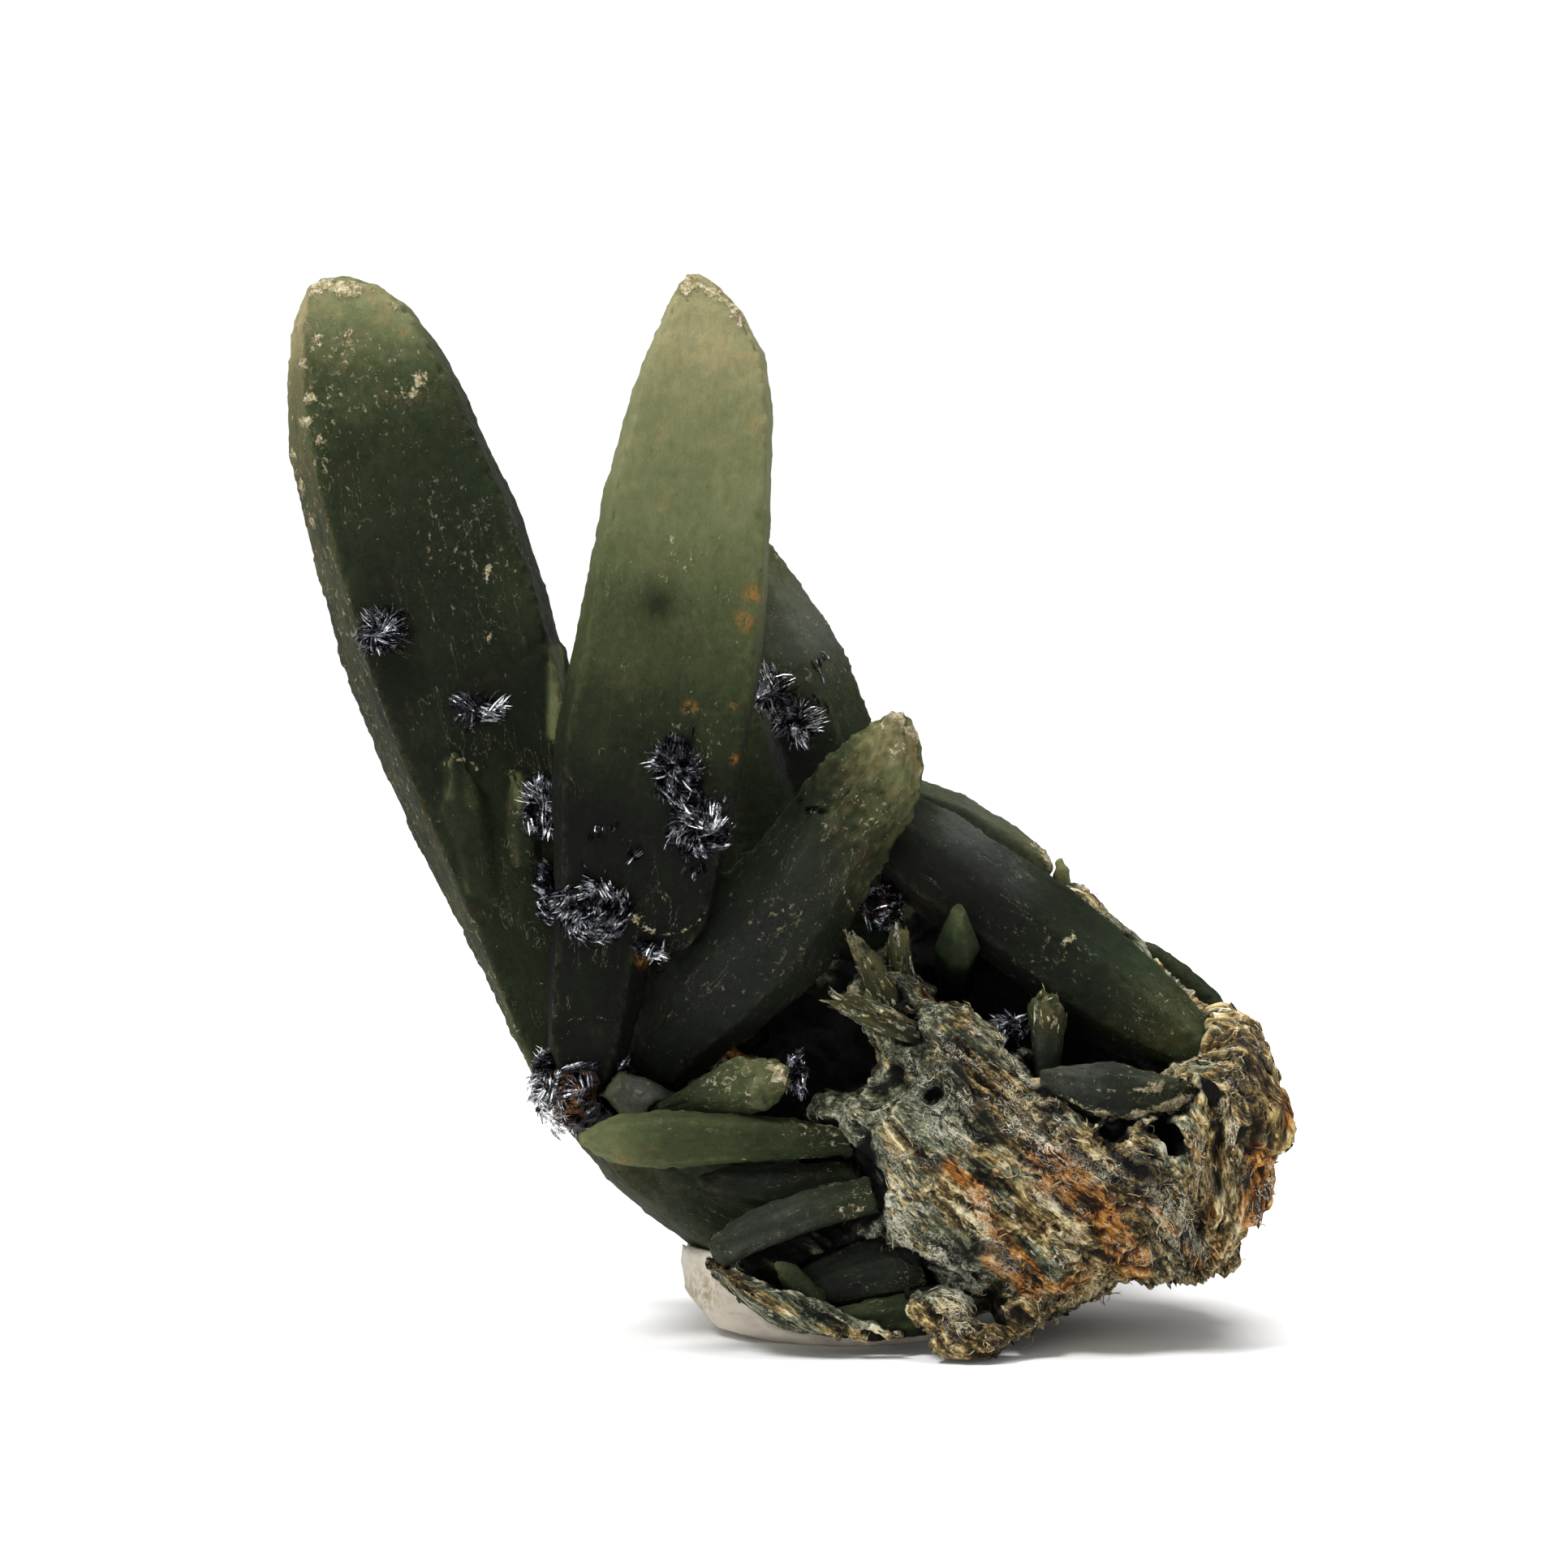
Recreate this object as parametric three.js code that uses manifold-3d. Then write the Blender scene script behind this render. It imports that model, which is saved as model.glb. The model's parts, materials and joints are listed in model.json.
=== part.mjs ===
// A prase quartz crystal cluster: dark green flame-shaped quartz crystals that fan out of a fibrous
// green and rust-brown rock, with small rosettes of specular hematite grown on them. It stands on the
// flattened underside of a lump of mounting putty.
//
// Units are millimetres, +Z is up and the front of the cluster faces -Y. The origin is the centre of
// the putty's flat underside.

import * as THREE from "three";
import { ImprovedNoise } from "three/addons/math/ImprovedNoise.js";
import { mergeVertices } from "three/addons/utils/BufferGeometryUtils.js";
import Module from "manifold-3d";

const wasm = await Module();
wasm.setup();

// Driving dimensions
const GAP = 0.3; // between two pieces that touch
const WELD = 1e-4; // corners nearer than this are one

// The front view, by which most places are given
const EYE = new THREE.Vector3(-6.7, -563, 101.9);
const AIM = new THREE.Vector3(-6.7, -3, 55);
const AIM_IN_VIEW = [-2.7, 57.1]; // where AIM shows, in the view's own millimetres across and up

// The rock
const ROCK_HEIGHT = 1.8; // of its underside above the surface that the putty stands on
const GRAIN_ANGLE = -38; // degrees; its fibres run down to the right
const RELIEF = {
  lumps: { height: 2.8, size: [9, 9, 9] },
  ledges: { height: 2.2, size: [8, 2.8, 5] },
  chips: { height: 1.1, size: [3.4, 1.5, 3] },
};
const RELIEF_SIDEWAYS = 0.3; // share of the relief that also widens or narrows the outline
const LUMP_DETAIL = 1; // subdivisions of a lump of rock and of a hematite rosette
const FLAKED = { planes: 12, nearest: 0.78, farthest: 0.98, facing: 0.2 }; // the flat faces that cut a lump

// The putty, from its flat foot up: height, middle x, middle y, half width and half depth of each ring
const PUTTY_RINGS = [
  [0, 0, 0, 11, 9.5],
  [1, -1.4, 0.4, 13, 10.6],
  [3.6, -2.2, 0.8, 14.6, 11.2],
  [7.5, -3.2, 1.4, 14, 10.4],
  [10.2, -6.4, 2.2, 10.6, 8],
  [11.2, -7.6, 3, 6.4, 4.8],
];
const PUTTY_SIDES = 16;

// Colours of the five materials
const COLOUR = { prase: 0x3a4630, pale: 0x6d7c50, rock: 0x6b6144, hematite: 0x3a3d46, putty: 0xb3aa98 };
const FINISH = {
  prase: { roughness: 0.5, metalness: 0 },
  pale: { roughness: 0.5, metalness: 0 },
  rock: { roughness: 0.9, metalness: 0 },
  hematite: { roughness: 0.3, metalness: 1 },
  putty: { roughness: 0.8, metalness: 0 },
};

// Points in the front view

// The direction from the eye to a place in the front view, long enough to end level with AIM.
function sight(across, up) {
  const ahead = AIM.clone().sub(EYE).normalize();
  const upward = new THREE.Vector3(1, 0, 0).cross(ahead);
  const place = AIM.clone().addScaledVector(upward, up - AIM_IN_VIEW[1]);
  place.x += across - AIM_IN_VIEW[0];
  place.sub(EYE);
  return place.multiplyScalar((AIM.y - EYE.y) / place.y);
}

// The point that shows at (across, up) in the front view and lies at a depth behind AIM.
function seen(across, up, depth) {
  const share = (AIM.y + depth - EYE.y) / (AIM.y - EYE.y);
  return sight(across, up).multiplyScalar(share).add(EYE);
}

// Solids

// A solid from a closed geometry, turned the right way out.
function solidFrom(geometry) {
  const bare = geometry.clone();
  bare.deleteAttribute("normal");
  bare.deleteAttribute("uv");
  const merged = mergeVertices(bare, WELD);
  const vertProperties = new Float32Array(merged.attributes.position.array);
  const build = (triVerts) => new wasm.Manifold(new wasm.Mesh({ numProp: 3, vertProperties, triVerts }));
  const solid = build(new Uint32Array(merged.index.array));
  return solid.volume() > 0 ? solid : build(new Uint32Array(merged.index.array).reverse());
}

// A geometry from a solid.
function geometryFrom(solid) {
  const mesh = solid.getMesh();
  const position = new Float32Array(mesh.numVert * 3);
  for (let i = 0; i < mesh.numVert; i++) {
    position.set(mesh.vertProperties.subarray(i * mesh.numProp, i * mesh.numProp + 3), i * 3);
  }
  const geometry = new THREE.BufferGeometry();
  geometry.setAttribute("position", new THREE.BufferAttribute(position, 3));
  geometry.setIndex(new THREE.BufferAttribute(new Uint32Array(mesh.triVerts), 1));
  return geometry;
}

const union = (solids) => solids.reduce((a, b) => a.add(b));
const largest = (solid) => solid.decompose().sort((a, b) => b.volume() - a.volume())[0];
const fused = (...makers) => (grow) => union(makers.map((make) => make(grow)));

// A closed solid through rings of points, with a fan over each end.
function loft(rings) {
  const sides = rings[0].length;
  const faces = [];
  for (let r = 0; r < rings.length - 1; r++) {
    for (let k = 0; k < sides; k++) {
      const a = r * sides + k;
      const b = r * sides + ((k + 1) % sides);
      faces.push(a, b, b + sides, a, b + sides, a + sides);
    }
  }
  const last = (rings.length - 1) * sides;
  for (let k = 1; k < sides - 1; k++) {
    faces.push(0, k + 1, k);
    faces.push(last, last + k, last + k + 1);
  }
  const geometry = new THREE.BufferGeometry().setFromPoints(rings.flat());
  geometry.setIndex(faces);
  return solidFrom(geometry);
}

// Crystals

// A crystal by its two long edges as the front view shows them, from root to tip: each station is
// [left across, left up, right across, right up]. depth is that of the root and of the tip. flat is its
// thickness as a share of its width, and front and back are where the long ridges of its two broad faces
// run, from -1 at the left edge to 1 at the right edge. lean sets the left and right edges back.
function crystal({ edges, depth, flat = 0.7, front = [-0.5, 0.5], back = [-0.45, 0.5], lean = [0, 0] }) {
  const section = [
    [-1, lean[0]],
    [front[0], -1],
    [front[1], -1],
    [1, lean[1]],
    [back[1], 1],
    [back[0], 1],
  ];
  const depths = edges.map((_, i) => THREE.MathUtils.lerp(depth[0], depth[1], i / (edges.length - 1)));
  const lefts = edges.map(([across, up], i) => seen(across, up, depths[i]));
  const rights = edges.map(([, , across, up], i) => seen(across, up, depths[i]));
  const middles = lefts.map((left, i) => left.clone().lerp(rights[i], 0.5));
  const last = edges.length - 1;
  return (grow) => {
    const rings = middles.map((middle, i) => {
      const ahead = middles[Math.min(i + 1, last)];
      const behind = middles[Math.max(i - 1, 0)];
      const along = ahead.clone().sub(behind).normalize();
      const side = rights[i].clone().sub(lefts[i]).multiplyScalar(0.5);
      const half = side.length();
      side.normalize();
      const away = side.clone().cross(along).normalize();
      if (away.y < 0) away.negate();
      const end = i === 0 ? -grow : i === last ? grow : 0;
      return section.map(([a, b]) =>
        middle
          .clone()
          .addScaledVector(side, a * (half + grow))
          .addScaledVector(away, b * (half * flat + grow))
          .addScaledVector(along, end),
      );
    });
    return loft(rings);
  };
}

// The half width of a flame-shaped crystal, as [share of its length from the root, share of the widest].
const FLAME = [
  [0, 0.62],
  [0.2, 0.86],
  [0.45, 1],
  [0.68, 0.94],
  [0.85, 0.72],
  [0.95, 0.42],
  [1, 0.16],
];

// A flame-shaped crystal from a root to a tip, each [x, y, z], turned about its own length.
function spike({ root, tip, half, flat = 0.75, turn = 0 }) {
  const from = new THREE.Vector3(...root);
  const to = new THREE.Vector3(...tip);
  const along = to.clone().sub(from).normalize();
  const side = along.clone().cross(new THREE.Vector3(0, 0, 1)).normalize();
  side.applyAxisAngle(along, THREE.MathUtils.degToRad(turn));
  const away = side.clone().cross(along);
  return (grow) => {
    const rings = FLAME.map(([share, width]) => {
      const end = share === 0 ? -grow : share === 1 ? grow : 0;
      const middle = from.clone().lerp(to, share).addScaledVector(along, end);
      return Array.from({ length: 6 }, (_, k) => {
        const angle = (k * Math.PI) / 3;
        return middle
          .clone()
          .addScaledVector(side, Math.cos(angle) * (half * width + grow))
          .addScaledVector(away, Math.sin(angle) * (half * width * flat + grow));
      });
    });
    return loft(rings);
  };
}

// Rock and rosettes

const noise = new ImprovedNoise();
const grainTurn = THREE.MathUtils.degToRad(GRAIN_ANGLE);
const GRAIN = [Math.cos(grainTurn), Math.sin(grainTurn)];

// How far the broken rock stands out at a place (across, up, depth): ledges and chips follow the grain.
function relief(across, up, depth, seed) {
  const along = across * GRAIN[0] + up * GRAIN[1];
  const over = up * GRAIN[0] - across * GRAIN[1];
  const layer = ({ height, size }, a, b) =>
    height * noise.noise(a / size[0], b / size[1], depth / size[2] + seed);
  const fine = layer(RELIEF.ledges, along, over) + layer(RELIEF.chips, along, over);
  return fine + layer(RELIEF.lumps, across, up);
}

// How far a closed outline reaches from its core at an angle.
function reachAt(outline, core, angle) {
  const heading = [Math.cos(angle), Math.sin(angle)];
  let reach = 0;
  outline.forEach(([ax, az], i) => {
    const [bx, bz] = outline[(i + 1) % outline.length];
    const turn = heading[0] * (bz - az) - heading[1] * (bx - ax);
    const share = (heading[1] * (ax - core[0]) - heading[0] * (az - core[1])) / turn;
    const distance = ((ax - core[0]) * (bz - az) - (az - core[1]) * (bx - ax)) / turn;
    if (share >= 0 && share <= 1 && distance > reach) reach = distance;
  });
  return reach;
}

// A unit ball of even triangles with its shared vertices merged.
function ball(detail) {
  const geometry = new THREE.IcosahedronGeometry(1, detail);
  geometry.deleteAttribute("normal");
  geometry.deleteAttribute("uv");
  return mergeVertices(geometry, WELD);
}

// A mass of rock by its outline in the front view: full size at the middle depth, it rounds off towards
// the near and the far depth, and its faces have the broken relief. square is how boxy it is.
function mass({ outline, core, depth, detail, seed, square = 3, rough = 1 }) {
  const [near, middle, far] = depth;
  return (grow) => {
    const body = ball(detail);
    const position = body.attributes.position;
    const unit = new THREE.Vector3();
    for (let i = 0; i < position.count; i++) {
      unit.fromBufferAttribute(position, i);
      const angle = Math.atan2(unit.z, unit.x);
      const place = (reach) => [core[0] + Math.cos(angle) * reach, core[1] + Math.sin(angle) * reach];
      const share = Math.hypot(unit.x, unit.z) ** (2 / square);
      const bulge = Math.sign(unit.y) * Math.abs(unit.y) ** (2 / square);
      const edge = reachAt(outline, core, angle) * share;
      const deep = middle + bulge * (bulge < 0 ? middle - near : far - middle);
      const out = rough * relief(...place(edge), deep, seed);
      const spread = edge + share * (grow + RELIEF_SIDEWAYS * out);
      const point = seen(...place(spread), deep + bulge * (grow + out));
      position.setXYZ(i, point.x, point.y, Math.max(point.z, ROCK_HEIGHT));
    }
    return solidFrom(body);
  };
}

// Repeatable random numbers from 0 to 1.
function dice(seed) {
  let state = seed * 7919;
  return () => {
    state = (state + 0x6d2b79f5) | 0;
    let mixed = Math.imul(state ^ (state >>> 15), 1 | state);
    mixed = (mixed + Math.imul(mixed ^ (mixed >>> 7), 61 | mixed)) ^ mixed;
    return ((mixed ^ (mixed >>> 14)) >>> 0) / 4294967296;
  };
}

// A lump with broken flat faces: its centre, half sizes [x, y, z] and a tilt in degrees about Y.
function lump({ at, size, tilt = 0, seed, planes = FLAKED.planes, rough = 0.06 }) {
  return (grow) => {
    const roll = dice(seed);
    const cuts = Array.from({ length: planes }, () => {
      const height = 2 * roll() - 1;
      const angle = 2 * Math.PI * roll();
      const flatness = Math.sqrt(1 - height * height);
      const normal = new THREE.Vector3(flatness * Math.cos(angle), flatness * Math.sin(angle), height);
      return { normal, reach: THREE.MathUtils.lerp(FLAKED.nearest, FLAKED.farthest, roll()) };
    });
    const body = ball(LUMP_DETAIL);
    const position = body.attributes.position;
    const point = new THREE.Vector3();
    for (let i = 0; i < position.count; i++) {
      point.fromBufferAttribute(position, i).normalize();
      let reach = 1;
      for (const cut of cuts) {
        const facing = point.dot(cut.normal);
        if (facing > FLAKED.facing) reach = Math.min(reach, cut.reach / facing);
      }
      point.multiplyScalar(reach * (1 + rough * (2 * roll() - 1)));
      point.set(point.x * (size[0] + grow), point.y * (size[1] + grow), point.z * (size[2] + grow));
      point.applyAxisAngle(new THREE.Vector3(0, 1, 0), THREE.MathUtils.degToRad(tilt));
      point.add(at);
      position.setXYZ(i, point.x, point.y, point.z);
    }
    return solidFrom(body);
  };
}

// Where the line of sight to a spot of the front view meets a piece.
function landing(spot, solid) {
  const direction = sight(...spot).normalize();
  const target = new THREE.Mesh(geometryFrom(solid), new THREE.MeshBasicMaterial({ side: THREE.DoubleSide }));
  return new THREE.Raycaster(EYE, direction).intersectObject(target)[0].point;
}

// The big crystals of the fan

const leftCrystal = fused(
  crystal({
    edges: [
      [-26.6, 26.4, -23, 26.8],
      [-29.6, 32.2, -23.7, 33.4],
      [-33, 39.6, -22.7, 42.4],
      [-38.2, 49.6, -22.1, 54.4],
      [-43, 59.6, -23.2, 65.2],
      [-46.7, 69.6, -25.8, 75.4],
      [-49.3, 79.2, -29, 85],
      [-51.6, 89.6, -33.6, 94.8],
      [-51.9, 96, -36.6, 100.2],
      [-51.4, 101.6, -39.2, 103.8],
      [-50.4, 104.8, -42.2, 105.8],
      [-49.3, 106.4, -45.6, 107],
    ],
    depth: [3, 9],
    flat: 0.64,
    front: [-0.7, 0.92],
    lean: [0.15, -0.1],
  }),
  crystal({
    edges: [
      [-26, 56, -23.4, 56],
      [-25.4, 63, -23.3, 63],
      [-25, 68.6, -23.6, 68.2],
      [-24.7, 70.8, -24.2, 70.9],
    ],
    depth: [5, 5],
    flat: 1.6,
  }),
  crystal({
    edges: [
      [-29.4, 49, -26.4, 49.5],
      [-29.9, 55, -27.2, 55.5],
      [-30, 58.8, -29.2, 59],
    ],
    depth: [-0.4, -3.2],
    flat: 0.8,
  }),
  crystal({
    edges: [
      [-34.4, 46.4, -30.4, 45.6],
      [-36.2, 54.4, -31.8, 54.8],
      [-35.8, 59.8, -34.4, 60.6],
    ],
    depth: [0, -2.8],
    flat: 0.4,
  }),
);

const centreCrystal = fused(
  crystal({
    edges: [
      [-22.6, 41.4, -14.6, 40.6],
      [-24.4, 42.6, -11.6, 41.6],
      [-25.2, 45, -10, 43.6],
      [-25.4, 48, -9.2, 46.8],
      [-25.6, 54.4, -8, 51.6],
      [-25.2, 62.4, -6.6, 59.6],
      [-23.6, 70.4, -5, 67.6],
      [-21.8, 79.2, -4.2, 76.8],
      [-20.2, 87.2, -3.9, 85.2],
      [-17.7, 96, -3.7, 94],
      [-16, 100.6, -4.6, 99.6],
      [-14.4, 104, -6.4, 103.2],
      [-13.1, 106.6, -9, 106.2],
      [-12.4, 107.5, -11, 107.4],
    ],
    depth: [-3, -5],
    flat: 0.6,
    front: [-0.86, 0.92],
    lean: [-0.2, 0],
  }),
  crystal({
    edges: [
      [-24.8, 27.6, -19.6, 27],
      [-26.1, 31.6, -17.6, 31.2],
      [-26, 38.4, -16, 38],
      [-25.4, 44, -15.2, 43],
      [-24.6, 50, -17, 49.6],
    ],
    depth: [-2.4, -3.6],
    flat: 0.8,
    front: [-0.85, 0.6],
  }),
);

const rearCrystal = crystal({
  edges: [
    [3.4, 34.5, 10.6, 38],
    [0.8, 45.6, 8.4, 48],
    [-2, 53.6, 7.6, 56.4],
    [-4.8, 62, 5.9, 64],
    [-6.8, 68.4, 3.2, 70.6],
    [-8.2, 73.6, 0.2, 75.4],
    [-9.2, 77.6, -2.6, 79.4],
    [-9.2, 80.2, -4.4, 81.4],
    [-8.2, 81.6, -6, 82.2],
  ],
  depth: [14, 10],
  flat: 0.8,
  front: [-0.75, 0.3],
});

const frontCrystal = crystal({
  edges: [
    [-18.4, 29.4, -14, 26],
    [-17.6, 36, -9.2, 29.6],
    [-15.6, 42, -3.6, 33.8],
    [-10.8, 46.2, 0.8, 37.6],
    [-6, 50.8, 4, 43],
    [-2.8, 54.8, 6.8, 48.2],
    [0.8, 59.2, 9.9, 53.4],
    [4, 62, 11.4, 57.6],
    [6.4, 63.6, 11, 60.8],
    [8, 64.2, 9.8, 63.2],
  ],
  depth: [3, -9],
  flat: 0.72,
  front: [-0.35, 0.55],
});

const rightCrystal = crystal({
  edges: [
    [39.2, 25.2, 42.8, 28],
    [35.2, 29.4, 40.4, 32.8],
    [29.6, 31.4, 36.2, 37.6],
    [23.2, 34.8, 31.2, 42.4],
    [18.4, 38.8, 25.6, 46.8],
    [12.8, 42.6, 19.4, 51],
    [8, 46, 14.4, 54.2],
    [4.4, 50, 9.6, 56.4],
    [2.8, 53.2, 6, 57.2],
  ],
  depth: [3, 4],
  flat: 0.8,
  front: [-0.6, 0.35],
});

const rightRearCrystal = crystal({
  edges: [
    [8.8, 53.6, 10.4, 57.8],
    [14.4, 51.6, 15.2, 56],
    [19.2, 48.8, 20, 53],
    [22, 47, 23.2, 50.6],
    [23, 47.6, 23.8, 49.4],
  ],
  depth: [12, 13],
  flat: 0.9,
});

const farRightCrystal = crystal({
  edges: [
    [41.4, 31.6, 42.2, 33.6],
    [38, 34.4, 40.2, 36.6],
    [34.4, 37.2, 37.2, 39.2],
    [32, 39.4, 34.4, 41.2],
    [31, 40.6, 32.2, 41.8],
  ],
  depth: [12, 14],
  flat: 1.1,
});

// The lower left, where crystals lie side by side

const trunkCrystal = fused(
  crystal({
    edges: [
      [2.4, 8.4, 7.6, 16.4],
      [-7.2, 8.4, 0, 19.2],
      [-12.8, 12, -5.6, 23.2],
      [-16.8, 15.2, -10.4, 26.4],
      [-20.4, 18.4, -14.4, 29.6],
      [-23, 21.6, -17.6, 31.2],
      [-24.8, 24, -20.8, 30.4],
    ],
    depth: [7, 4],
    flat: 1.05,
    front: [-0.7, 0.5],
  }),
  crystal({
    edges: [
      [-14, 22, -9, 24],
      [-19, 24.6, -15.6, 28],
      [-21.2, 26.4, -19, 29.2],
    ],
    depth: [-2, -5],
    flat: 1.1,
  }),
);

const LOWER = {
  lower_long_crystal: {
    edges: [
      [4, 20.4, 3.6, 23],
      [-1.6, 20, -1.6, 24.2],
      [-8, 19.6, -8, 24.7],
      [-14.4, 19.2, -14.4, 25],
      [-18.8, 19.4, -18.8, 24.6],
      [-21.4, 20.4, -21, 23.8],
      [-22.9, 21.7, -22.6, 22.6],
    ],
    depth: [-6, -13],
    flat: 0.8,
    front: [-0.7, 0.75],
  },
  broken_crystal: {
    edges: [
      [-16.4, 24, -15.6, 25.4],
      [-12, 24.4, -10.8, 28.4],
      [-8, 24.2, -7.6, 30.2],
      [-4.4, 24.5, -4, 30.3],
      [-2.8, 26.4, -2.2, 29.4],
    ],
    depth: [-5, -9],
    flat: 0.7,
    front: [-0.3, 0.6],
  },
  lower_upper_crystal: {
    edges: [
      [4.8, 16.4, 4, 20],
      [-3.2, 15, -3.2, 19.8],
      [-9.2, 16.4, -8.8, 19.4],
      [-11.6, 17.4, -11.2, 18.6],
    ],
    depth: [-5, -6],
    flat: 0.9,
  },
  lower_middle_crystal: {
    edges: [
      [6.8, 14.8, 5.6, 18.4],
      [0, 13, -1.2, 17],
      [-5.6, 10.6, -7.6, 14.4],
      [-8.8, 9.2, -10.4, 11.8],
    ],
    depth: [-9, -10],
    flat: 0.85,
    front: [-0.6, 0.4],
  },
  lower_broad_crystal: {
    edges: [
      [12, 7.2, 8.8, 13.2],
      [5.2, 6, 2.8, 11.6],
      [0.4, 5.4, -1.2, 9.2],
    ],
    depth: [-7, -8],
    flat: 0.7,
    front: [-0.7, 0.3],
  },
  lower_pale_crystal: {
    edges: [
      [0, 4.4, 1.6, 6.8],
      [-2.8, 7.6, -1.2, 9.6],
      [-3.8, 9.4, -3, 10.2],
    ],
    depth: [-10, -12],
    flat: 0.8,
  },
  lower_flat_crystal: {
    edges: [
      [13.6, 3.2, 12.4, 7.6],
      [6.8, 2.2, 5.6, 6.4],
      [1.2, 2.8, 1, 5],
    ],
    depth: [-9, -10],
    flat: 0.8,
  },
};

// Crystals on the rock's upper side

const UPPER = {
  tiny_pale_crystal: {
    edges: [
      [24, 44.8, 26, 45.2],
      [23.7, 48.2, 25.4, 48.8],
      [24, 49.6, 24.6, 49.8],
    ],
    depth: [12, 12],
    flat: 0.8,
  },
  ledge_crystal: {
    edges: [
      [37.2, 24.6, 38, 27.6],
      [32, 24, 34.4, 28.8],
      [27.2, 24.2, 29.6, 29.8],
      [23.8, 26.2, 24.8, 29.5],
      [22, 28, 22.7, 29],
    ],
    depth: [-7, -10],
    flat: 0.55,
    front: [-0.75, 0.7],
  },
  green_stub_crystal: {
    edges: [
      [12.2, 36.6, 15.6, 37],
      [12, 39.6, 16.2, 39.2],
      [12, 41, 16.6, 41],
      [13.6, 44.6, 15.3, 44.7],
    ],
    depth: [9, -5],
    flat: 0.9,
    front: [-0.2, 0.5],
  },
  upright_stub_crystal: {
    edges: [
      [21.8, 28.4, 24.4, 28.4],
      [21.6, 33.2, 25, 33.2],
      [21.3, 34.7, 25, 34.7],
      [21.9, 35.7, 24.6, 35.4],
    ],
    depth: [-4, -7],
    flat: 0.9,
  },
  pale_stub_crystal: {
    edges: [
      [7.6, 35.2, 10.4, 35.6],
      [7.2, 40.8, 10, 41.2],
      [7.8, 42.8, 9.8, 42.6],
    ],
    depth: [-2, -4],
    flat: 0.9,
  },
  thin_blade_crystal: {
    edges: [
      [6.8, 32.8, 9.6, 34.8],
      [4.8, 38.4, 7, 40],
      [3.6, 40.8, 5.3, 41.6],
      [3.1, 42.2, 3.7, 42.6],
    ],
    depth: [-5, -10],
    flat: 0.5,
  },
  splintered_crystal: {
    edges: [
      [10.2, 31, 11, 33.4],
      [4.8, 33.4, 5.6, 36.2],
      [2.2, 34.9, 1.9, 36.7],
    ],
    depth: [-6, -12],
    flat: 0.6,
  },
};

// The back, which the front view hides: root, tip and half width of each crystal

const BACK = [
  { root: [-8, 10, 22], tip: [-12, 23, 70], half: 6.6, turn: 10 },
  { root: [8, 15, 28], tip: [1, 34, 54], half: 5, turn: 50 },
  { root: [20, 14, 28], tip: [28, 32, 36], half: 4.4, turn: 10 },
  { root: [-6, 12, 16], tip: [-25, 22, 25], half: 4.2, turn: 35 },
  { root: [0, 17, 12], tip: [-11, 33, 15], half: 3.6, turn: 5 },
  { root: [12, 18, 16], tip: [11, 40, 24], half: 4, turn: 25 },
  { root: [24, 14, 20], tip: [35, 31, 22], half: 3.4, turn: 40 },
  { root: [18, 16, 12], tip: [24, 31, 10], half: 2.8, turn: 15 },
];

// Hematite rosettes, by where the front view shows them. Each lies on a crystal or, in a hollow, at a
// depth of its own.

const ROSES = [
  { spot: [-42.3, 72.2], on: "left_crystal", size: [2.6, 1.3, 2.1], seed: 11 },
  { spot: [-32.8, 64.6], on: "left_crystal", size: [2.9, 1.2, 1.9], seed: 12 },
  { spot: [-26.8, 54.8], on: "left_crystal", size: [2.6, 2.6, 3], seed: 13 },
  { spot: [-26.2, 46.6], on: "left_crystal", size: [1.3, 1.8, 3.6], seed: 14 },
  { spot: [-13.4, 58.6], on: "centre_crystal", size: [2.6, 1.4, 3.4], tilt: 12, seed: 15 },
  { spot: [-10.9, 52.4], on: "centre_crystal", size: [3.2, 1.4, 2.5], seed: 16 },
  { spot: [-21.4, 44.8], on: "centre_crystal", size: [4.1, 1.6, 3.8], seed: 17 },
  { spot: [-16.2, 41.2], on: "centre_crystal", size: [2.2, 1.6, 1.3], tilt: 20, seed: 18 },
  { spot: [-22.8, 26.9], depth: -2.5, size: [5.4, 4.6, 5.4], seed: 19 },
  { spot: [-4.2, 66.2], on: "rear_crystal", size: [1.9, 1.3, 2.4], tilt: 20, seed: 20 },
  { spot: [-1.4, 63.4], on: "rear_crystal", size: [2.4, 1.3, 2.2], tilt: 30, seed: 21 },
  { spot: [6.6, 45.2], depth: 2, size: [2.6, 2.8, 2.6], seed: 22 },
  { spot: [-1.4, 28.6], depth: -4, size: [1.5, 2, 2], seed: 23 },
  { spot: [19.8, 32.2], depth: -4, size: [2, 2, 2], seed: 24 },
];

function rose({ spot, on, depth, ...shape }, placed) {
  const at = on ? landing(spot, placed.get(on)) : seen(...spot, depth);
  return lump({ ...shape, at, planes: 5, rough: 0.16 });
}

// The host rock

const FRONT_ROCK = {
  outline: [
    [6.4, 33.6],
    [10.4, 36],
    [15.2, 34.8],
    [19.2, 32.4],
    [23.2, 28.8],
    [28, 24.6],
    [34.4, 25.6],
    [39.6, 27],
    [42.6, 33.6],
    [44.8, 29.6],
    [46.8, 26.8],
    [49, 22.9],
    [45.8, 22.6],
    [44.8, 20.8],
    [45.6, 17.8],
    [43.6, 14],
    [41.6, 10],
    [38.4, 8.8],
    [35.2, 8],
    [30.4, 7.6],
    [26.4, 5.6],
    [22.8, 3.2],
    [20, 4.8],
    [17.2, 5.4],
    [13.6, 5],
    [8.4, 5.4],
    [4, 7],
    [1.6, 9.6],
    [4, 14.4],
    [4.8, 19.2],
    [1.6, 22.4],
    [0.4, 26.2],
    [6.2, 27],
    [6.6, 30],
  ],
  core: [23, 18],
  depth: [-12.5, 0, 20],
  detail: 6,
  seed: 31,
};
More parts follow.
